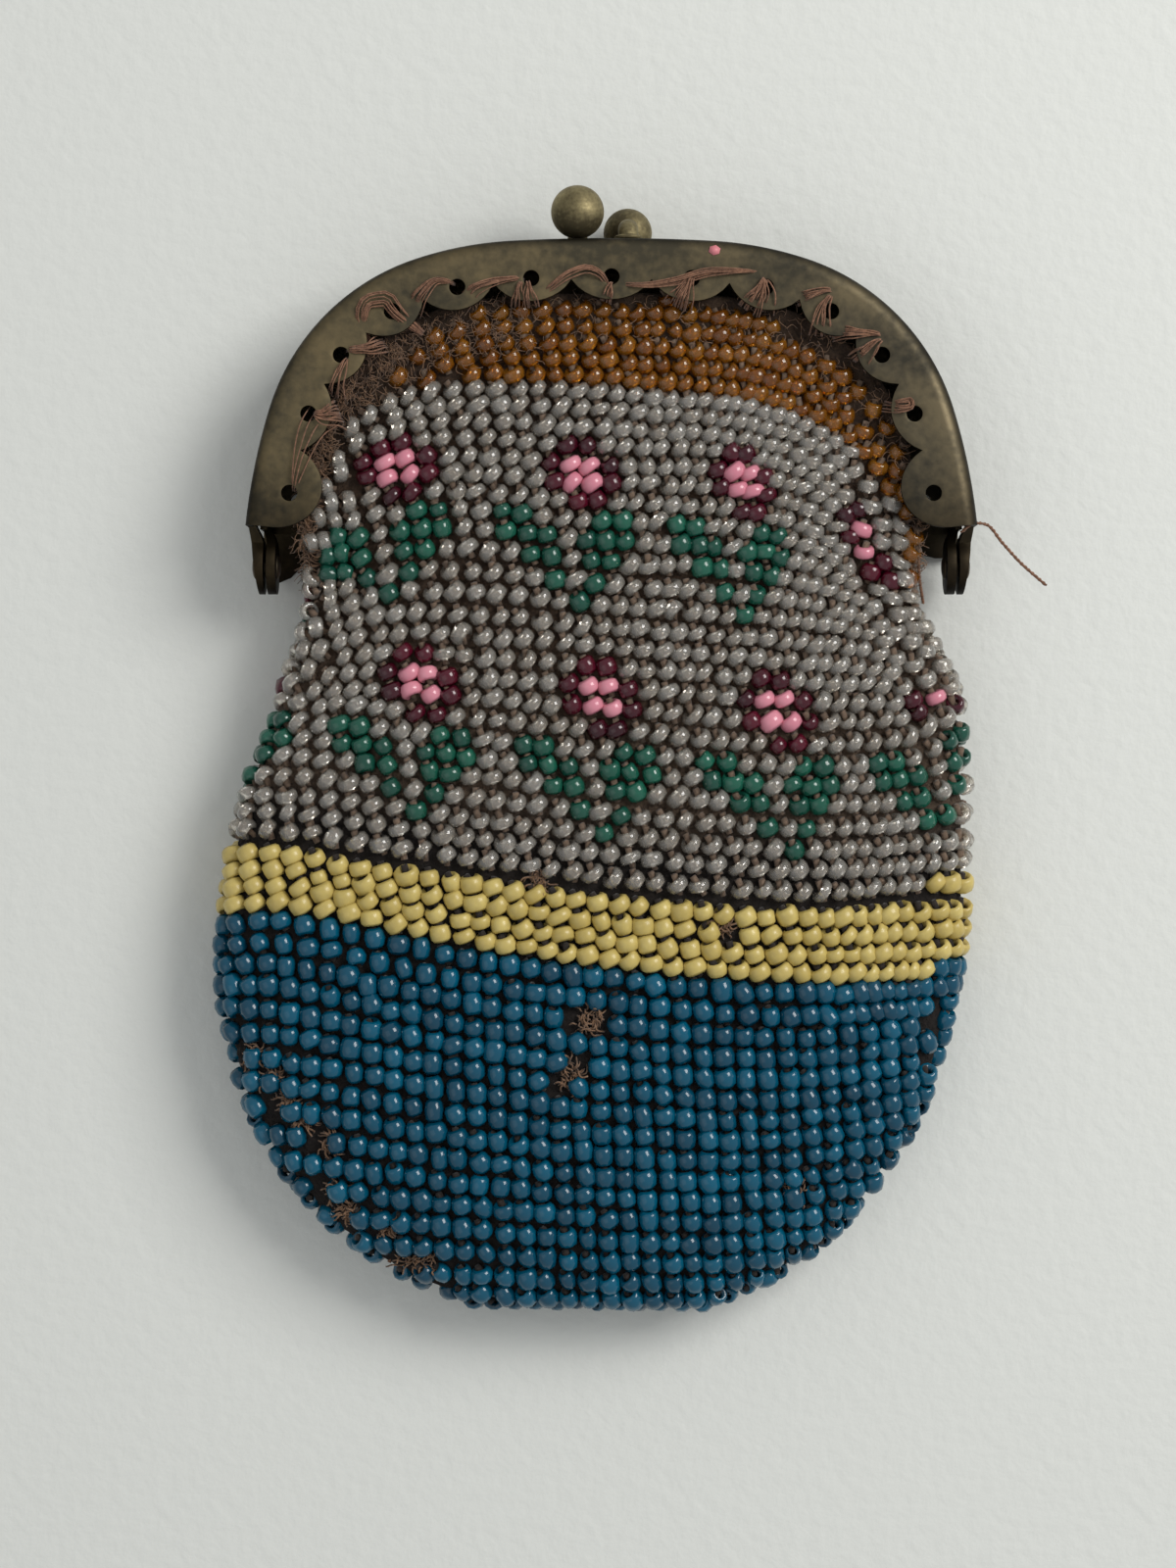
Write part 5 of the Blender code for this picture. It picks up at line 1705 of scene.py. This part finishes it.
def window_light() -> None:
    """Soft daylight: an even sky and one large window to the right and above."""
    world = bpy.data.worlds.new("daylight")
    world.use_nodes = True
    sky = world.node_tree.nodes["Background"].inputs
    sky["Color"].default_value = (0.96, 0.98, 1.0, 1.0)
    sky["Strength"].default_value = 0.42
    bpy.context.scene.world = world
    for name, place, size, power, tint in (
            ("window", (0.38, 0.24, 0.40), 0.30, 2.3, (1.0, 0.985, 0.96)),
            ("room", (-0.30, -0.15, 0.55), 0.5, 0.25, (1.0, 0.98, 0.95))):
        data = bpy.data.lights.new(name, "AREA")
        data.shape = "SQUARE"
        data.size = size
        data.energy = power
        data.color = tint
        lamp = bpy.data.objects.new(name, data)
        bpy.context.scene.collection.objects.link(lamp)
        lamp.location = place
        lamp.rotation_mode = "QUATERNION"
        lamp.rotation_quaternion = (-Vector(place)).to_track_quat("-Z", "Y")


# Point of the front plate's plane in the middle of the photograph
PICTURE_MIDDLE = (-2.085, -19.575, 4.9)


def overhead_camera() -> None:
    """Camera straight above, 300 mm over the front plate, as the photograph was taken."""
    distance = 0.300
    height_seen = 0.1392
    sensor = 36.0
    data = bpy.data.cameras.new("overhead")
    data.sensor_width = sensor
    data.lens = sensor * distance / height_seen
    data.clip_start = 0.01
    data.clip_end = 10.0
    camera = bpy.data.objects.new("overhead", data)
    bpy.context.scene.collection.objects.link(camera)
    camera.location = in_metres(PICTURE_MIDDLE) + (0, 0, distance)
    bpy.context.scene.camera = camera
    bpy.context.scene.view_settings.view_transform = "Standard"


# Each glass: light and deep tone, the painted shade towards the hole, then transmission, roughness, coat and
# mottle
GLASS = {
    Bead.AMBER: BeadFinish("amber_glass", (0.91, 0.37, 0.034), (0.49, 0.15, 0.009), (0.16, 0.055, 0.01),
                           0.8, 0.08),
    Bead.CLEAR: BeadFinish("clear_glass", (0.90, 0.865, 0.79), (0.74, 0.675, 0.58), (0.36, 0.27, 0.19),
                           0.8, 0.07, 0.8),
    Bead.PINK: BeadFinish("pink_glass", (0.75, 0.29, 0.36), (0.64, 0.22, 0.29), (0.36, 0.10, 0.14)),
    Bead.GARNET: BeadFinish("garnet_glass", (0.17, 0.008, 0.03), (0.05, 0.003, 0.011), (0.02, 0.002, 0.005),
                            0.45, 0.12),
    Bead.GREEN: BeadFinish("green_glass", (0.022, 0.20, 0.125), (0.008, 0.085, 0.058), (0.003, 0.03, 0.022),
                           0.4, 0.12),
    Bead.YELLOW: BeadFinish("yellow_glass", (0.68, 0.54, 0.175), (0.54, 0.41, 0.115), (0.11, 0.07, 0.022),
                            0.0, 0.36, 0.15, 0.16),
    Bead.BLUE: BeadFinish("blue_glass", (0.0005, 0.108, 0.19), (0.0004, 0.044, 0.084),
                          (0.0004, 0.012, 0.025), 0.0, 0.14, 0.15),
}
LONG_TAIL = ((31.2, 2.9, 3.6), (32.4, 3.7, 3.7), (33.4, 3.6, 3.3), (35.0, 2.0, 2.5), (36.7, 0.3, 1.7),
             (39.1, -1.7, 1.0))
SHORT_TAIL = ((27.6, 1.6, 1.2), (27.7, -0.6, 0.9), (28.1, -3.3, 0.6))
LUG_INSET = 0.6
LUG_STEP = 1.1
BACK_INSET = 1.0
CLASP_X = -0.75
BALL_SPACING = 2.275
BALL_CLEARANCE = 0.2
FRONT_BALL_RADIUS = 2.2
BACK_BALL_RADIUS = 2.38
WALLS = (("front", 1, Part.FRONT_WALL), ("back", -1, Part.ROOT))


def metalwork(patina: Tree) -> None:
    """Make both frame halves, the kiss lock's balls and the hinge rivets."""
    # The frame's brass gets browning at the hinges, greying to the right and a darker rim, partly painted
    # shade
    frame_brass = BrassFinish("tarnished_brass", (0.20, 0.156, 0.084), (0.08, 0.07, 0.047), tarnishes_and_shades=True)
    brass = frame_brass.material(patina)
    ball_brass = BrassFinish("ball_brass", (0.30, 0.25, 0.13), (0.11, 0.09, 0.05), 300.0).material(patina)
    rivet_metal = BrassFinish("rivet_metal", (0.10, 0.08, 0.055), (0.035, 0.028, 0.022)).material(patina)
    arch = Arch()
    lug = arch.leg_x - LUG_INSET
    front = FrameHalf("frame_front", 1, 0.0, 0.15, lug)
    back = FrameHalf("frame_back", -1, BACK_INSET, -0.5, lug - LUG_STEP, HEELS)
    settle(front.build(brass), Part.FRONT, "frame_brass", "frame_front_half")
    settle(back.build(brass), Part.ROOT, "frame_brass", "frame_back_half")
    back_wall = arch.crown - BACK_INSET
    front_ball = KissBall("front_ball", 1, CLASP_X + BALL_SPACING, arch.crown, FRONT_BALL_RADIUS,
                          back_wall + BALL_CLEARANCE + FRONT_BALL_RADIUS)
    back_ball = KissBall("back_ball", -1, CLASP_X - BALL_SPACING, back_wall, BACK_BALL_RADIUS,
                         arch.crown + BALL_CLEARANCE + BACK_BALL_RADIUS)
    settle(front_ball.build(ball_brass), Part.FRONT, "ball_brass", "clasp_ball_front")
    settle(back_ball.build(ball_brass), Part.ROOT, "ball_brass", "clasp_ball_back")
    for side, word in ((-1, "left"), (1, "right")):
        rivet = HingeRivet(f"rivet_{word}", side, lug).build(rivet_metal)
        settle(rivet, Part.ROOT, "rivet_metal", f"hinge_rivet_{word}")


def beadwork(fibre: Tree) -> None:
    """Make the crochet, the glass beads on it and the yarn through them."""
    rounds = BeadRounds()
    places = rounds.place()
    string = BeadString()
    cloth = FabricFinish().material(fibre)
    for word, face, part in WALLS:
        settle(CrochetFabric().build(f"crochet_{word}", face, cloth), part, "bead_glass", "beaded_bag")
    for number, kind in enumerate(Bead):
        material = GLASS[kind].material()
        for word, face, part in WALLS:
            pick = (places["colour"] == number) & ((places["angle"] >= 0) == (face > 0))
            beads = {key: values[pick] for key, values in places.items()}
            piece = string.build(f"{kind.value}_beads_{word}", beads, CUTS[kind], material)
            settle(piece, part, "bead_glass", "beaded_bag")
    first_dark_row = rounds.amber_rows + rounds.clear_rows
    brown_yarn = YarnFinish("brown_yarn", (0.23, 0.16, 0.11), (0.10, 0.065, 0.045)).material(fibre)
    dark_yarn = YarnFinish("dark_yarn", (0.035, 0.025, 0.02), (0.012, 0.009, 0.008)).material(fibre)
    for band, finish in (("upper", brown_yarn), ("lower", dark_yarn)):
        for word, face, part in WALLS:
            dark = places["row"] >= first_dark_row
            pick = (dark == (band == "lower")) & ((places["angle"] >= 0) == (face > 0))
            beads = {key: values[pick] for key, values in places.items()}
            piece = string.core(f"bead_yarn_{band}_{word}", beads, finish)
            settle(piece, part, "copper_brown_thread", "beaded_bag")


def needlework(fibre: Tree) -> None:
    """Make the sewing threads, the worn wool and the fleck of paint."""
    thread = YarnFinish("copper_brown_thread", (0.33, 0.165, 0.095), (0.12, 0.055, 0.03)).material(fibre)
    wool = YarnFinish("brown_wool", (0.32, 0.18, 0.098), (0.08, 0.044, 0.025)).material(fibre)
    front_thread = SewingThread("front_thread", 1, FRONT_STITCHES, (LONG_TAIL,))
    settle(front_thread.build(thread), Part.FRONT, "copper_brown_thread", "sewing_thread_front")
    back_thread = SewingThread("back_thread", -1, FRONT_STITCHES, (SHORT_TAIL,))
    settle(back_thread.build(thread), Part.ROOT, "copper_brown_thread", "sewing_thread_back")
    fuzz = Fuzz()
    for word, face, part in WALLS:
        settle(fuzz.edge(f"edge_wool_{word}", face, wool), part, "copper_brown_thread", "beaded_bag")
    settle(fuzz.tuft(thread), Part.ROOT, "copper_brown_thread", "beaded_bag")
    settle(PaintSpeck().build(), Part.FRONT, "frame_brass", "frame_front_half")


def main() -> None:
    """Build and dress the purse, then the stage."""
    logging.basicConfig(level=logging.INFO, format="%(name)s %(message)s")
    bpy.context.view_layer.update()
    fibre = fibre_effect()
    metalwork(patina_effect())
    beadwork(fibre)
    needlework(fibre)
    paper_floor()
    window_light()
    overhead_camera()


if __name__ == "__main__":
    main()
